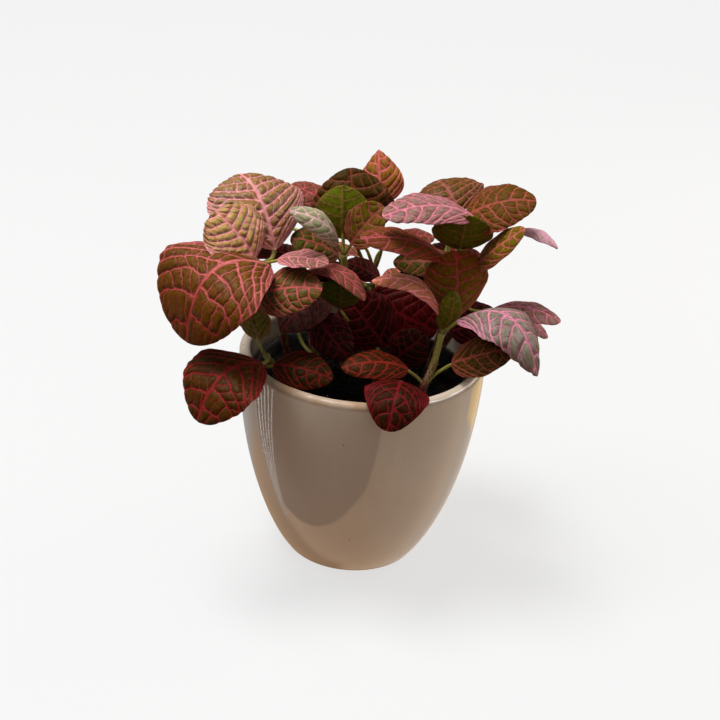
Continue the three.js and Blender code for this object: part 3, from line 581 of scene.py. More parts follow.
def leaf_recipe(nodes):
    """Olive to wine-red leaf tissue, swollen between pink veins, with painted highlights on the cell crowns,
    a painted pale mauve sheen, a pale rim partly painted as rim light, and a damp gleam.
    """
    net = vein_net(nodes)
    swell = cell_swell(net)
    place, cell = net["place"], net["cell"]
    blade, vein = nodes.colour("blade_tone"), nodes.colour("vein_tone")
    under, painted_pale_shine, quilt = nodes.vector("blade_look").parts()

    edge = 0.2 + quilt * 0.1
    rib, sides, rungs, forks = (
        distance.ease(width + edge, width - edge)
        for distance, width in (net["rib"], net["side"], net["rung"], net["fork"]))
    web = nodes.cells(place, 0.36, "DISTANCE_TO_EDGE").ease(0.09, 0.02) * 0.22 * (1 - under)
    veins = rib.most(sides).most(rungs * cell[0].ease(0, 1, 0.7, 1)).most(forks * 0.85).most(web)

    mottle = nodes.noise(place, 0.5, 4.0)
    grain = nodes.noise(place, 2.2, 3.0)
    cell_tone = cell[1].ease(0.0, 1.0, -0.12, 0.12) + (mottle - 0.5) * 1.2 + (grain - 0.5) * 0.7
    # dark and light are random tones of the blade; the third copy is the painted highlight colour.
    dark, light, painted_crown_highlight = (
        nodes.tinted(blade, tint) for tint in ((0.62, 0.60, 0.55), (1.45, 1.42, 1.3), (2.0, 2.1, 1.7)))
    tissue = nodes.mix(cell_tone + 0.5, dark, light)
    patches = nodes.noise(place, 0.22, 3.0).ease(0.35, 0.65) * 0.3 + swell.ease(0.15, 0.8) * 0.7
    wine, green = (nodes.tinted(tissue, tint) for tint in ((1.3, 0.76, 1.1), (0.8, 1.22, 0.55)))
    tissue = nodes.mix(patches, wine, green)
    tissue = nodes.mix(swell.ease(0.5, 0.0) * (quilt * 0.45 + 0.12), tissue, vein)
    # Painted highlight: the crowns of the swollen cells are lightened as if lit from above.
    crown = swell.ease(0.45, 1.0, 0.0, 0.5) * grain.ease(0.4, 0.7, 0.3, 1.0)
    tissue = nodes.mix(crown, tissue, painted_crown_highlight)
    # Painted sheen: a pale mauve sheen, a painted reflection, laid over the swollen cells.
    mauve = (0.32, 0.23, 0.245)
    tissue = nodes.mix(painted_pale_shine * swell.ease(0.1, 0.8) * mottle.ease(0.35, 0.65, 0.1, 0.7), tissue, mauve)
    vein_paint = nodes.mix(mottle.ease(0.35, 0.7), nodes.tinted(vein, (0.72, 0.62, 0.66)), vein)
    colour = nodes.mix(veins * under.ease(0.0, 1.0, 0.94, 0.6), tissue, vein_paint)
    # A pale rim in vein colour along the margin: partly the margin's own vein, partly painted rim light.
    colour = nodes.mix(net["outward"].ease(0.955, 1.0) * 0.45, colour, vein)

    pores = nodes.cells(place, 2.6)
    height = grain * 0.3 + pores * 0.15 - veins * 0.15 * (1 - under) + veins * 0.5 * under
    return {
        "Base Color": colour,
        "Roughness": mottle.ease(0.3, 0.7, 0.48, 0.6) - quilt * 0.14 + under * 0.1,
        "IOR": 1.42, "Specular IOR Level": 0.1, "Specular Tint": (1.0, 0.85, 0.6, 1.0),
        "Coat Weight": quilt.ease(0.45, 1.0, 0.0, 0.5) * swell.ease(0.0, 0.6, 0.2, 1.0),
        "Coat Roughness": 0.32, "Coat IOR": 1.4,
        "Subsurface Weight": 0.04, "Subsurface Radius": (1.0, 0.4, 0.1), "Subsurface Scale": 0.0012,
        "Normal": nodes.bump(height, 0.0004, 0.7, nodes.bump(swell * quilt, 0.001, 0.9)),
    }


def stem_recipe(nodes, red, green):
    """A stem that turns from dark red to green, streaked along its length."""
    place = nodes.millimetres()
    climb, _, _ = nodes.vector("stem_shade").parts()
    streaks = nodes.noise(nodes.stretched(place, 0.15), 1.1, 3.0)
    base = nodes.mix((climb + (streaks - 0.5) * 0.7).ease(0.15, 0.85), red, green)
    return {
        "Base Color": nodes.mix(streaks.ease(0.5, 0.8, 0.0, 0.5), base, shaded(green, 1.9)),
        "Roughness": 0.42, "IOR": 1.42,
        "Subsurface Weight": 0.1, "Subsurface Radius": (1.0, 0.5, 0.2), "Subsurface Scale": 0.002,
        "Normal": nodes.bump(streaks + nodes.noise(place, 2.0, 2.0) * 0.5, 0.0004, 0.7),
    }


def hair_recipe(nodes):
    """Fine pale hairs, pink at the root."""
    _, outward, _ = nodes.vector("stem_shade").parts()
    pink, pale = (0.20, 0.09, 0.05), (0.50, 0.42, 0.28)
    return {"Base Color": nodes.mix(outward, pink, pale), "Roughness": 0.5}


def floor_recipe(nodes, colour, glow):
    """A plain matte floor, lit from within so that the plant's shadow stays faint."""
    return {
        "Base Color": nodes.mix(nodes.noise(nodes.millimetres(), 0.01, 2.0), colour, shaded(colour, 0.98)),
        "Roughness": 0.9, "Specular IOR Level": 0.0,
        "Emission Color": (1, 1, 1, 1), "Emission Strength": glow,
    }


# -------- mesh helpers

def unit(vectors):
    return vectors / np.maximum(np.linalg.norm(vectors, axis=-1, keepdims=True), 1e-12)


def path_length(line):
    return np.linalg.norm(np.diff(line, axis=0), axis=1).sum()


def placed(name, data, matrix=None):
    """A new object of the scene."""
    thing = bpy.data.objects.new(name, data)
    if matrix is not None:
        thing.matrix_world = matrix
    bpy.context.scene.collection.objects.link(thing)
    return thing


class Body:
    """Points, faces and per-point values gathered for one mesh. Points are in millimetres."""

    def __init__(self):
        self.points, self.faces, self.slots, self.values = [], [], [], {}
        self.count = 0

    def add(self, points, faces, slot=0, **values):
        self.points.append(np.asarray(points, float))
        self.faces += [tuple(int(i) + self.count for i in face) for face in faces]
        self.slots += [slot] * len(faces)
        for name, value in values.items():
            self.values.setdefault(name, []).append((self.count, np.asarray(value, float)))
        self.count += len(points)

    def build(self, name, materials):
        mesh = bpy.data.meshes.new(name)
        mesh.from_pydata((np.vstack(self.points) * MM).tolist(), [], self.faces)
        for material in materials:
            mesh.materials.append(material)
        mesh.polygons.foreach_set("material_index", self.slots)
        for title, tables in self.values.items():
            kind, field, width = ("COLOR", "color", 4) if title.endswith("_tone") else ("VECTOR", "vector", 3)
            full = np.zeros((self.count, width), np.float32)
            for start, table in tables:
                full[start:start + len(table), :table.shape[1]] = table
            mesh.attributes.new(title, "FLOAT_" + kind, "POINT").data.foreach_set(field, full.ravel())
        mesh.shade_smooth()
        mesh.validate()
        return placed(name, mesh)


def skin(sides, rings, first, start_pole, end_pole):
    """The faces of a closed body: rings of that many sides, with a pole at each end."""
    starts = [first + ring * sides for ring in range(rings)]
    faces = []
    for k in range(sides):
        after = (k + 1) % sides
        faces += [(low + k, low + after, high + after, high + k) for low, high in zip(starts, starts[1:])]
        faces += [(start_pole, first + after, first + k), (end_pole, starts[-1] + k, starts[-1] + after)]
    return faces


def turned(profile, sides, wobble=None):
    """A closed turned body. The profile runs from the axis at the bottom, outside, to the axis inside."""
    points = [(0, 0, profile[0][1])]
    for radius, height in profile[1:-1]:
        for angle in np.linspace(0, 2 * math.pi, sides, endpoint=False):
            out, up = wobble(radius, height, angle) if wobble else (radius, height)
            points.append((out * math.cos(angle), out * math.sin(angle), up))
    points.append((0, 0, profile[-1][1]))
    return points, skin(sides, len(profile) - 2, 1, 0, len(points) - 1)


def between(near, far, start, end, t):
    """The point at t on the straight way from near, at start, to far, at end."""
    return (end - t) / (end - start) * near + (t - start) / (end - start) * far


def smooth_line(points, step):
    """An even line through the points that passes smoothly through each, with no overshoot."""
    p = [np.array(point, float) for point in points]
    p = [2 * p[0] - p[1], *p, 2 * p[-1] - p[-2]]
    line = [p[1]]
    for i in range(1, len(p) - 2):
        a, b, c, d = p[i - 1:i + 3]
        gaps = [max(np.linalg.norm(far - near), 1e-6) ** 0.5 for near, far in ((a, b), (b, c), (c, d))]
        t0, t1, t2, t3 = np.cumsum([0.0, *gaps])
        for t in np.linspace(t1, t2, max(2, int(np.linalg.norm(c - b) / step)) + 1)[1:]:
            e, f, g = between(a, b, t0, t1, t), between(b, c, t1, t2, t), between(c, d, t2, t3, t)
            line.append(between(between(e, f, t0, t2, t), between(f, g, t1, t3, t), t1, t2, t))
    return np.array(line)


def tube(line, radii, sides):
    """A closed tube along a line. Returns points, faces and the outward direction at each point."""
    ways = unit(np.gradient(line, axis=0))
    across = unit(np.cross(ways[0], (0.3, 0.5, 0.81)))
    angles = np.linspace(0, 2 * math.pi, sides, endpoint=False)
    outs = []
    for way in ways:
        across = unit(across - way * np.dot(across, way))
        outs.append(np.outer(np.cos(angles), across) + np.outer(np.sin(angles), np.cross(way, across)))
    points = [spot + ring * radius for spot, ring, radius in zip(line, outs, radii)]
    count = len(line)
    points = np.vstack([*points, line[:1], line[-1:]])
    outs = np.vstack([*outs, -ways[:1], ways[-1:]])
    return points, skin(sides, count, 0, count * sides, count * sides + 1), outs


# -------- leaf blades

def blade_frame(shape):
    base, tip = (np.array(shape[key], float) for key in ("base", "tip"))
    forward = unit(tip - base)
    face = np.array(shape["face"], float)
    up = unit(face - forward * np.dot(face, forward))
    crest = (base + tip) / 2 + up * 2 * shape["arch"]
    return base, tip, crest, np.cross(up, forward)


def blade_half_width(shape, u):
    skew = math.log(0.5) / math.log(shape["widest"])
    return shape["width"] / 2 * np.sin(math.pi * np.clip(u, 0, 1) ** skew) ** shape["blunt"]


def blade_points(shape, u, v):
    """The blade's middle surface at u, from base to tip, and v, across from -1 to 1."""
    base, tip, crest, side = blade_frame(shape)
    share = u[..., None]
    middle = base * (1 - share) ** 2 + 2 * share * (1 - share) * crest + tip * share ** 2
    way = unit(2 * (1 - share) * (crest - base) + 2 * share * (tip - crest))
    normal = np.cross(way, np.broadcast_to(side, way.shape))
    half = blade_half_width(shape, u)
    left, right = (math.radians(angle) or 0.001 for angle in shape["curl"])
    bend = np.where(v >= 0, left, right)
    out = np.sign(v) * half * np.sin(bend * abs(v)) / bend
    drop = half * (1 - np.cos(bend * abs(v))) / bend
    phase = 2 * math.pi * 2.5 * u + math.pi * (v < 0) + 0.7 * sum(shape["base"])
    wave = min(0.9, shape["width"] / 45) * v * v * np.sin(math.pi * u) * np.sin(phase)
    return middle + side * out[..., None] - normal * (drop - wave)[..., None]


def side_vein_root(u, v, lean):
    """Where on the midrib the side vein through a point begins. The veins lean towards the tip, and those
    that would begin below the blade fan out from its base."""
    back = lean * np.abs(v) ** 1.5
    return (u - back) / (1 - back)


def spacing(values, grid):
    """The millimetres over the sheet for each whole step of the values."""
    along, across = np.gradient(grid, axis=(0, 1))
    up, over = np.gradient(values)
    e, f, g = ((p * q).sum(-1) for p, q in ((along, along), (along, across), (across, across)))
    steep = (g * up ** 2 - 2 * f * up * over + e * over ** 2) / np.maximum(e * g - f ** 2, 1e-9)
    return 1 / np.sqrt(np.maximum(steep, 1e-9))


def add_blade(body, shape, number, step, thickness):
    """Adds one blade: two sheets that meet at its margin, with the values that its veins follow."""
    base, tip, crest, _ = blade_frame(shape)
    length = np.linalg.norm(crest - base) * 0.5 + np.linalg.norm(tip - crest) * 0.5
    length = (length + np.linalg.norm(tip - base)) / 2
    width = shape["width"]
    rows = max(12, int(length * 1.45 / step))
    columns = 2 * max(5, int(width / 2 / step))
    turn = np.linspace(0, 1, rows + 1)[1:-1]
    half_turn = math.pi / 2 * 0.82
    u, v = np.meshgrid(
        (1 - np.cos(math.pi * turn)) / 2,
        np.sin(np.linspace(-1, 1, columns + 1) * half_turn) / math.sin(half_turn), indexing="ij")
    grid = blade_points(shape, u, v)
    ends = blade_points(shape, np.array([0.0, 1.0]), np.zeros(2))

    d_u = blade_points(shape, np.clip(u + 0.004, 0, 1), v) - blade_points(shape, np.clip(u - 0.004, 0, 1), v)
    d_v = blade_points(shape, u, np.minimum(v + 0.01, 1)) - blade_points(shape, u, np.maximum(v - 0.01, -1))
    lift = unit(np.cross(d_u, d_v))
    half = np.maximum(blade_half_width(shape, u), 0.3)
    flow = side_vein_root(u, v, shape["lean"]) * shape["veins"]
    thick = (thickness / 2 * np.sqrt(np.clip(1 - v ** 6, 0, 1)))[..., None]

    top = np.arange(u.size).reshape(u.shape)
    inner = top[:, 1:-1]
    total = u.size + inner.size
    bottom = top.copy()
    bottom[:, 1:-1] = u.size + np.arange(inner.size).reshape(inner.shape)
    faces = []
    for sheet, is_top in ((top, True), (bottom, False)):
        for near, far in zip(sheet, sheet[1:]):
            if is_top:
                near, far = far, near
            faces += zip(near, near[1:], far[1:], far)
        for pole, row in ((total, sheet[0][::-1]), (total + 1, sheet[-1])):
            faces += [(pole, b, a) if is_top else (pole, a, b) for a, b in zip(row, row[1:])]

    def table(*columns):
        return np.stack([np.broadcast_to(column, u.shape) for column in columns], -1)

    def sides(upper, lower=None):
        """A value for each point of the upper sheet, the lower sheet's inside and the two ends."""
        lower = upper if lower is None else lower
        size = upper.shape[-1]
        ends_ = upper[[0, -1], u.shape[1] // 2]
        return np.vstack([upper.reshape(-1, size), lower[:, 1:-1].reshape(-1, size), ends_])

    look, fade = LOOKS[shape["look"]], LOOKS[shape["fade"]]
    fade_share = np.clip((u - 0.35) * 1.8, 0, 1)[..., None]

    def tone(entry):
        first, last = (np.array(screen_colour(colours[entry])) for colours in (look, fade))
        return first * (1 - fade_share) + last * fade_share

    height = shape["swell"] * (0.35 + width / 110) * np.sin(math.pi * turn)[:, None] ** 0.4
    notch = shape["swell"] ** 2
    quilt = min(1.0, 0.06 + 0.72 * shape["swell"])
    # blade_look holds the underside flag, the amount of painted pale sheen (weaker below) and the quilting.
    body.add(
        np.vstack([sides(grid + lift * thick, grid - lift * thick)[:total], ends]), faces, 0,
        vein_flow=sides(table(flow, abs(v) * half + 0.45 * u * length, spacing(flow, grid))),
        blade_place=sides(table(v * half, u * length, number * 7 + 3)),
        blade_size=sides(table(length, abs(v), 0)),
        blade_rise=sides(table(height, notch, 0), table(height, notch, 1)),
        lift=sides(lift), outline_way=sides(unit(d_v) * np.sign(v)[..., None]),
        blade_look=sides(table(0, look[4], quilt), table(1, look[4] * 0.3, quilt)),
        blade_tone=sides(tone(0), tone(2)), vein_tone=sides(tone(1), tone(3)),
    )


# -------- stems, stalks and hairs

def stem_line(stem, step):
    x, y = stem["root"]
    buried = [(x, y, SOIL_TOP + rise) for rise in (-14, -7, 1)]
    return smooth_line([*buried, *stem["path"]], step)


def stalk_line(stem, shape, step):
    """The leaf stalk leaves the stem, swings into the leaf's own direction and runs into its midrib."""
    start = np.array(stem["path"][shape["at"]], float)
    base, rib = blade_points(shape, np.array([0.0, 0.14]), np.zeros(2))
    forward = unit(rib - base)
    face = np.array(shape["face"], float)
    below = unit(forward * np.dot(face, forward) - face)
    swing = base - forward * 0.4 * np.linalg.norm(base - start) + below * 1.2
    rise = start + 0.6 * (swing - start)
    return smooth_line([start, rise, base + below * 0.9, rib + below * 0.8], step)


def add_hairs(body, points, outs, shade, count, draw):
    """Scatters fine tapering hairs over a tube's points."""
    for pick in draw.integers(0, len(points), count):
        out = unit(outs[pick] + draw.normal(0, 0.3, 3))
        root = points[pick] + draw.normal(0, 0.35, 3)
        root = root - outs[pick] * (np.dot(root - points[pick], outs[pick]) + 0.1)
        long = draw.uniform(0.6, 1.5)
        across = unit(np.cross(out, (0.31, 0.52, 0.79)))
        third = np.cross(out, across)
        ring = [root + 0.045 * (math.cos(a) * across + math.sin(a) * third) for a in (0, 2.1, 4.2)]
        tip = root + out * long + np.array((0, 0, draw.uniform(-0.3, 0.1)))
        tone = shade[pick][0]
        body.add([*ring, tip], [(0, 1, 3), (1, 2, 3), (2, 0, 3), (2, 1, 0)], 2,
                 stem_shade=[(tone, 0, 0)] * 3 + [(tone, 1, 0)])


def add_stalks(body, stem, settings, draw):
    """Adds a stem with its swollen joints, its leaf stalks and their hairs."""

    def add_tube(line, radii, sides, thick, tone, hairy, hairs):
        points, faces, outs = tube(line, radii, sides)
        climb = np.append(np.repeat(np.linspace(0, 1, len(line)), sides), [0, 1])
        shade = np.stack([tone(climb), climb * 0, climb * 0], -1)
        body.add(points, faces, 1, stem_shade=shade)
        spots = np.flatnonzero(hairy(points, climb))
        count = int(path_length(line) * 2 * math.pi * thick * hairs)
        add_hairs(body, points[spots], outs[spots], shade[spots], count, draw)

    radius = settings.stem_radius / MM
    line = stem_line(stem, 1.6)
    radii = radius * (1 - 0.28 * np.linspace(0, 1, len(line)))
    for point in stem["path"]:
        radii = radii * (1 + 0.16 * np.exp(-(np.linalg.norm(line - np.array(point), axis=1) / 3) ** 2))
    add_tube(line, radii, 14, radius, lambda climb: climb ** 2 * 0.9,
             lambda points, climb: points[:, 2] > SOIL_TOP + 0.5, settings.hairs)
    for shape in stem["leaves"]:
        line = stalk_line(stem, shape, 1.3)
        share = np.linspace(0, 1, len(line))
        thick = 0.62 + shape["width"] / 110
        taper = np.interp(share, [0, 0.75, 1], [1, 1, 0.25])
        radii = thick * (1.35 - 0.35 * np.minimum(share * 3, 1)) * taper
        add_tube(line, radii, 10, thick, lambda climb: 0.5 + 0.5 * climb,
                 lambda points, climb: climb < 0.75, settings.hairs * 0.7)


# -------- pots and potting mix

def pot_radius(settings, height):
    share = height / (settings.height / MM)
    foot, rim = settings.foot_radius / MM, settings.rim_radius / MM
    return foot + (rim - foot) * (1 - (1 - share) ** 2.1) ** 0.8


def pot_profile(settings):
    """From the axis under the foot, round the foot, up the wall, over the lip and down inside."""
    height, wall = settings.height / MM, settings.wall / MM
    lip = wall / 2
    shoulder = height - lip
    foot = settings.foot_radius / MM
    ring, rounding, floor = foot - 2.2, 1.6, settings.floor / MM
    profile = [(0, 1.2), (foot - 8, 1.2), (foot - 6.5, 0.9), (foot - 5.8, 0.2), (foot - 5.2, 0), (ring, 0)]
    for angle in np.linspace(0.15, 1, 6) * math.pi / 2:
        out = ring + (pot_radius(settings, rounding) - ring) * math.sin(angle)
        profile.append((out, rounding * (1 - math.cos(angle))))
    for z in rounding + np.linspace(0, 1, 46)[1:] ** 1.15 * (shoulder - rounding):
        profile.append((pot_radius(settings, z), z))
    middle = pot_radius(settings, shoulder) - lip
    for turn in np.linspace(0, math.pi, 15)[1:-1]:
        profile.append((middle + lip * math.cos(turn), shoulder + lip * math.sin(turn)))
    for z in floor + np.linspace(1, 0, 30) * (shoulder - floor):
        profile.append((pot_radius(settings, z) - wall, z))
    return [*profile, (pot_radius(settings, floor) - wall - 3, floor), (0, floor)]


def seat(piece, node):
    """Rides the finished piece on the part, in place of its plain solid."""
    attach(piece, "root")
    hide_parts(node)


class NERVE_OT_cover_pot(bpy.types.Operator):
    """Make the glazed cover pot"""
    bl_idname = "nerve.cover_pot"
    bl_label = "Make cover pot"

    def execute(self, context):
        settings = context.scene.nerve_pot
        body = Body()

        def wobble(radius, height, angle):
            return radius + 0.12 * math.sin(3 * angle + 0.05 * height) * min(height / 30, 1), height

        body.add(*turned(pot_profile(settings), 144, wobble))
        material = made_material("Cream glaze", glaze_recipe, tuple(settings.glaze))
        seat(body.build("cover_pot_glazed", [material]), "cover_pot")
        return {"FINISHED"}


class NERVE_OT_growers_pot(bpy.types.Operator):
    """Make the thin black pot that the plant grows in"""
    bl_idname = "nerve.growers_pot"
    bl_label = "Make grower's pot"

    def execute(self, context):
        bottom, top, foot, rim, wall = 8.3, 106.3, 33.0, 56.0, 1.3

        def radius(height):
            return foot + (rim - foot) * (height - bottom) / (top - bottom)

        def ribs(out, height, angle):
            rib = max(0.0, math.cos(24 * angle)) ** 6 * 0.25
            return out + (rib if height < top - 6 and out > 10 else 0), height

        heights = np.linspace(bottom + 1, top - 4, 24)
        profile = [(0, bottom), (foot - 1, bottom)] + [(radius(z) - 0.5, z) for z in heights]
        profile += [(rim - 1.4, top - 3.6), (rim - 0.2, top - 3.2), (rim, top - 2.4), (rim, top - 0.6)]
        profile += [(rim - 0.4, top), (rim - 1.4, top), (rim - 1.9, top - 0.5)]
        profile += [(radius(z) - wall, z) for z in heights[::-1]] + [(0, bottom + wall)]
        body = Body()
        body.add(*turned(profile, 192, ribs))
        material = made_material("Black plastic", plastic_recipe)
        seat(body.build("growers_pot_moulded", [material]), "growers_pot")
        return {"FINISHED"}


class NERVE_OT_potting_mix(bpy.types.Operator):
    """Make the bed of potting mix with its crumbs and perlite"""
    bl_idname = "nerve.potting_mix"
    bl_label = "Make potting mix"

    def execute(self, context):
        draw = np.random.default_rng(41)
        bottom, foot, reach = 10.0, 31.0, 52.4
        profile = [(0, bottom), (foot, bottom), (reach - 1, SOIL_TOP - 6), (reach, SOIL_TOP - 1)]
        profile += [(r, SOIL_TOP) for r in np.linspace(reach - 0.4, 0.8, 66)] + [(0, SOIL_TOP)]
        waves = (draw.uniform(-1, 1, (40, 3)) * (0.35, 0.35, 1))[:16]

        def uneven(radius, height, angle):
            if height < SOIL_TOP - 0.5:
                return radius, height
            x, y = radius * math.cos(angle), radius * math.sin(angle)
            rise = sum(c * math.sin(a * x + b * y + 3 * c) for a, b, c in waves)
            return radius, height + 0.16 * rise + 0.25 * draw.uniform(-1, 1)

        body = Body()
        body.add(*turned(profile, 180, uneven))
        corners = [(a, b, c) for a in (-1, 1) for b in (-1, 1) for c in (-1, 1)]
        crowns = [tuple(1.5 * s * (axis == k) for k in range(3)) for axis in range(3) for s in (-1, 1)]
        solid = np.array(corners + crowns, float)
        sides = ((0, 1, 3, 2), (4, 6, 7, 5), (0, 4, 5, 1), (2, 3, 7, 6), (0, 2, 6, 4), (1, 5, 7, 3))
        faces = [(side[k], side[(k + 1) % 4], crown) for crown, side in enumerate(sides, 8) for k in range(4)]
        for count, low, high, slot_index in ((1500, 0.35, 1.3, 0), (260, 0.9, 2.0, 0), (16, 0.5, 1.1, 1)):
            for _ in range(count):
                radius, angle = (reach - 3) * math.sqrt(draw.uniform()), draw.uniform(0, 2 * math.pi)
                size = draw.uniform(low, high) * np.array((1, draw.uniform(0.6, 1), draw.uniform(0.5, 0.9)))
                spin = np.array(Matrix.Rotation(draw.uniform(0, 6.28), 3, Vector(draw.normal(0, 1, 3))))
                place = (radius * math.cos(angle), radius * math.sin(angle), SOIL_TOP + 0.3 * size[2])
                lump = (solid * (0.62 + draw.uniform(-0.14, 0.14, (14, 1))) * size) @ spin.T
                body.add(lump + place, faces, slot_index)
        materials = [made_material("Potting mix", mix_recipe), made_material("Perlite", perlite_recipe)]
        seat(body.build("potting_mix_bed", materials), "soil")
        return {"FINISHED"}


class NERVE_OT_leafy_stems(bpy.types.Operator):
    """Make the thirteen stems with their stalks, hairs and veined leaves"""
    bl_idname = "nerve.leafy_stems"
    bl_label = "Make leafy stems"

    def execute(self, context):
        settings = context.scene.nerve_plant
        materials = [
            made_material("Veined leaf", leaf_recipe),
            made_material("Stem", stem_recipe, tuple(settings.stem_red), tuple(settings.stem_green)),
            made_material("Stem hair", hair_recipe),
        ]
        step = settings.sheet_step / MM * 1.0
        relief = relief_tree()
        number = 0
        for order, (node, stem) in enumerate(STEMS.items()):
            body = Body()
            for shape in stem["leaves"]:
                add_blade(body, shape, number, step, settings.thickness / MM)
                number += 1
            add_stalks(body, stem, settings, np.random.default_rng(100 + order))
            piece = body.build(node + "_leafy", materials)
            piece.modifiers.new("Relief", "NODES").node_group = relief
            flat = piece.data
            raised = bpy.data.meshes.new_from_object(piece.evaluated_get(context.evaluated_depsgraph_get()))
            piece.modifiers.clear()
            piece.data = raised
            bpy.data.meshes.remove(flat)
            raised.name = node
            for name in ("lift", "outline_way", "blade_rise"):
                raised.attributes.remove(raised.attributes[name])
            raised.shade_smooth()
            seat(piece, node)
        return {"FINISHED"}


# -------- stage

def aimed(name, place, target, energy, size, colour=(1, 1, 1)):
    """A rectangular lamp that the camera doesn't see."""
    data = bpy.data.lights.new(name, "AREA")
    data.shape, data.energy, data.color = "RECTANGLE", energy, colour
    data.size, data.size_y = size
    turn = (Vector(target) - Vector(place)).to_track_quat("-Z", "Y").to_matrix().to_4x4()
    placed(name, data, Matrix.Translation(place) @ turn).visible_camera = False


def mirrored_room(nodes, x, y, z):
    """The room that the glaze mirrors, by direction: table, dark front left, slatted blind, bright window."""
    table = nodes.mix(x.ease(0.0, 0.6), (0.85, 0.60, 0.39), (0.85, 0.70, 0.54))
    corner = nodes.mix(z.ease(-0.62, -0.54), (0.42, 0.27, 0.16), (0.36, 0.36, 0.36))
    depth = z * -1.0 - 0.5
    table = nodes.mix((y + depth * 0.6).ease(0.26, 0.48) * x.ease(0.02, -0.12), table, corner)
    table = nodes.mix(y.ease(0.3, 0.6) * x.ease(0.1, 0.3), table, (0.62, 0.55, 0.48))
    lamp = y.ease(0.52, 0.56) * x.ease(0.3, 0.4) * z.ease(-0.53, -0.51)
    table = nodes.mix(lamp, table, (1.1, 0.78, 0.38))
    bench = x + y + (depth * 1.35 - 0.378).most(0.0)
    table = nodes.mix(bench.ease(-0.43, -0.46), table, (0.12, 0.12, 0.12))
    across = (y - depth * 0.65 + 0.02) / (depth * -1.1 + 0.4)
    waves = (z * 21.0).math("SINE") * 0.35 + (z * 47.0).math("SINE") * 0.15
    slats = (across * 31.4 + waves).math("SINE").ease(0.45, 0.95, 0.08, 2.3)
    blind = across.ease(-0.08, 0.02) * across.ease(1.06, 0.98) * x.ease(-0.45, -0.55) * z.ease(-0.84, -0.76)
    table = nodes.mix(blind, table, nodes.joined(slats, slats, slats * 1.02))
    window = x.ease(0.62, 0.72) * y.ease(-0.35, -0.25) * y.ease(0.35, 0.25) * z.ease(0.3, 0.4)
    above = nodes.mix(window, (0.16, 0.155, 0.15), (7.0, 7.6, 8.2))
    return nodes.mix(z.ease(-0.3, -0.1), table, above)


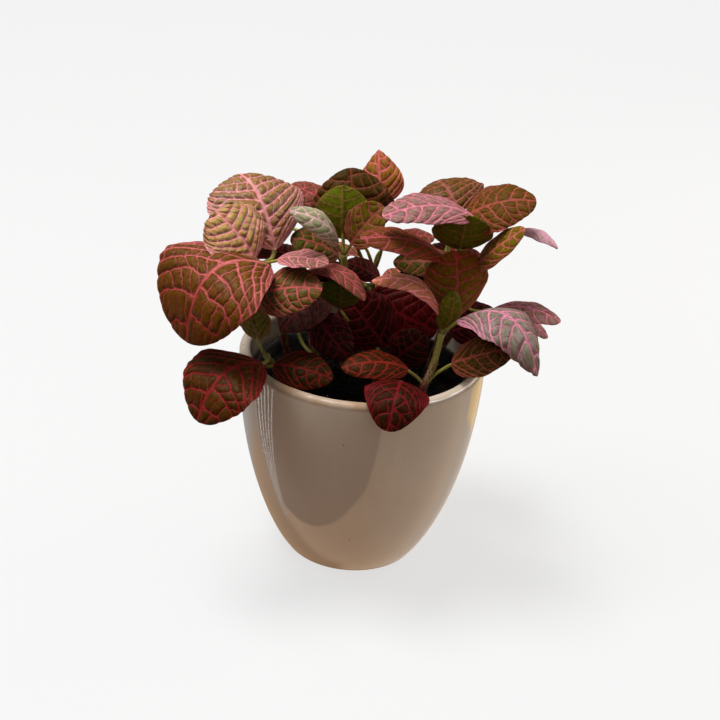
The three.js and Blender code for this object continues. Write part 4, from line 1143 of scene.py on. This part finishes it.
class NERVE_OT_stage(bpy.types.Operator):
    """Make the floor, the studio lights and the camera"""
    bl_idname = "nerve.stage"
    bl_label = "Make stage"

    def execute(self, context):
        scene = context.scene
        settings = scene.nerve_stage
        body = Body()
        reach, deep = 6000, 40
        profile = [(0, -deep), (reach - 100, -deep), (reach, -deep / 2), (reach - 100, 0), (0, 0)]
        body.add(*turned(profile, 96))
        material = made_material("Studio floor", floor_recipe, tuple(settings.floor), settings.glow)
        floor = body.build("studio_floor", [material])
        floor.visible_diffuse = floor.visible_glossy = False
        self.surround(scene, settings)

        sky = bpy.data.lights.new("skylight", "SUN")
        sky.energy, sky.angle = settings.key, math.radians(24)
        sky_way = Vector((-0.26, 0.1, 1.0))
        placed("skylight", sky, sky_way.to_track_quat("Z", "Y").to_matrix().to_4x4())
        aimed("left_window", (-0.7, -0.1, 0.95), (0, 0, 0.14), settings.glints * 0.85, (0.35, 0.6))
        aimed("right_back", (0.9, 0.5, 0.5), (0, 0, 0.1), settings.glints * 0.6, (0.4, 0.6), (1, 0.87, 0.7))

        lens = bpy.data.cameras.new("camera")
        lens.lens, lens.sensor_width, lens.clip_end = 61.2, 36, 50
        place = Matrix.Translation((-0.0012, -0.5817, 0.4002))
        right, up = Vector((0.99756, 0.03113, 0.06243)), Vector((-0.06976, 0.44511, 0.89275))
        turn = Matrix((right, up, right.cross(up))).transposed().to_4x4()
        scene.camera = placed("camera", lens, place @ turn)
        scene.view_settings.view_transform = "Standard"
        return {"FINISHED"}

    def surround(self, scene, settings):
        """A plain backdrop to the camera, the mirrored room to glossy surfaces and soft light to the rest."""
        world = bpy.data.worlds.new("Studio")
        world.use_nodes = True
        nodes = Nodes(world.node_tree)
        seen, glossy = (
            nodes.add("ShaderNodeLightPath", {}, {}, f"Is {ray} Ray") for ray in ("Camera", "Glossy"))
        x, y, z = nodes.add("ShaderNodeTexCoord", {}, {}, "Generated").parts()
        left, right = (shaded(settings.room_side, share) for share in (0.7, 1.3))
        above, below = tuple(settings.room_above), tuple(settings.room_below)
        room = nodes.mix(z.ease(-0.15, 1.0), nodes.mix(x.ease(-0.8, 0.8), left, right), above)
        room = nodes.mix(z.ease(-0.15, -0.9), room, below)
        room = nodes.mix(glossy, room, mirrored_room(nodes, x, y, z))
        colour = nodes.mix(seen, room, (settings.backdrop,) * 3)
        light = nodes.add("ShaderNodeBackground", {}, {"Color": colour, "Strength": 1.0})
        nodes.add("ShaderNodeOutputWorld", {}, {"Surface": light})
        scene.world = world


class NERVE_PT_panel(bpy.types.Panel):
    """Lists the values and the steps"""
    bl_idname = "NERVE_PT_panel"
    bl_label = "Nerve plant"
    bl_space_type = "VIEW_3D"
    bl_region_type = "UI"
    bl_category = "Nerve plant"

    def draw(self, context):
        for name in SETTINGS:
            box = self.layout.box()
            group = getattr(context.scene, name)
            for key in group.__annotations__:
                box.prop(group, key)
        for step in STEPS:
            self.layout.operator(step.bl_idname)


SETTINGS = {
    "nerve_pot": NervePotSettings, "nerve_plant": NervePlantSettings, "nerve_stage": NerveStageSettings,
}
STEPS = (
    NERVE_OT_cover_pot, NERVE_OT_growers_pot, NERVE_OT_potting_mix, NERVE_OT_leafy_stems, NERVE_OT_stage,
)


def register():
    for made in (*SETTINGS.values(), *STEPS, NERVE_PT_panel):
        bpy.utils.register_class(made)
    for name, group in SETTINGS.items():
        setattr(bpy.types.Scene, name, bpy.props.PointerProperty(type=group))


def unregister():
    for name in SETTINGS:
        delattr(bpy.types.Scene, name)
    for made in reversed((*SETTINGS.values(), *STEPS, NERVE_PT_panel)):
        bpy.utils.unregister_class(made)


def main():
    register()
    bpy.ops.nerve.stage()
    bpy.ops.nerve.cover_pot()
    bpy.ops.nerve.growers_pot()
    bpy.ops.nerve.potting_mix()
    bpy.ops.nerve.leafy_stems()


if __name__ == "__main__":
    main()
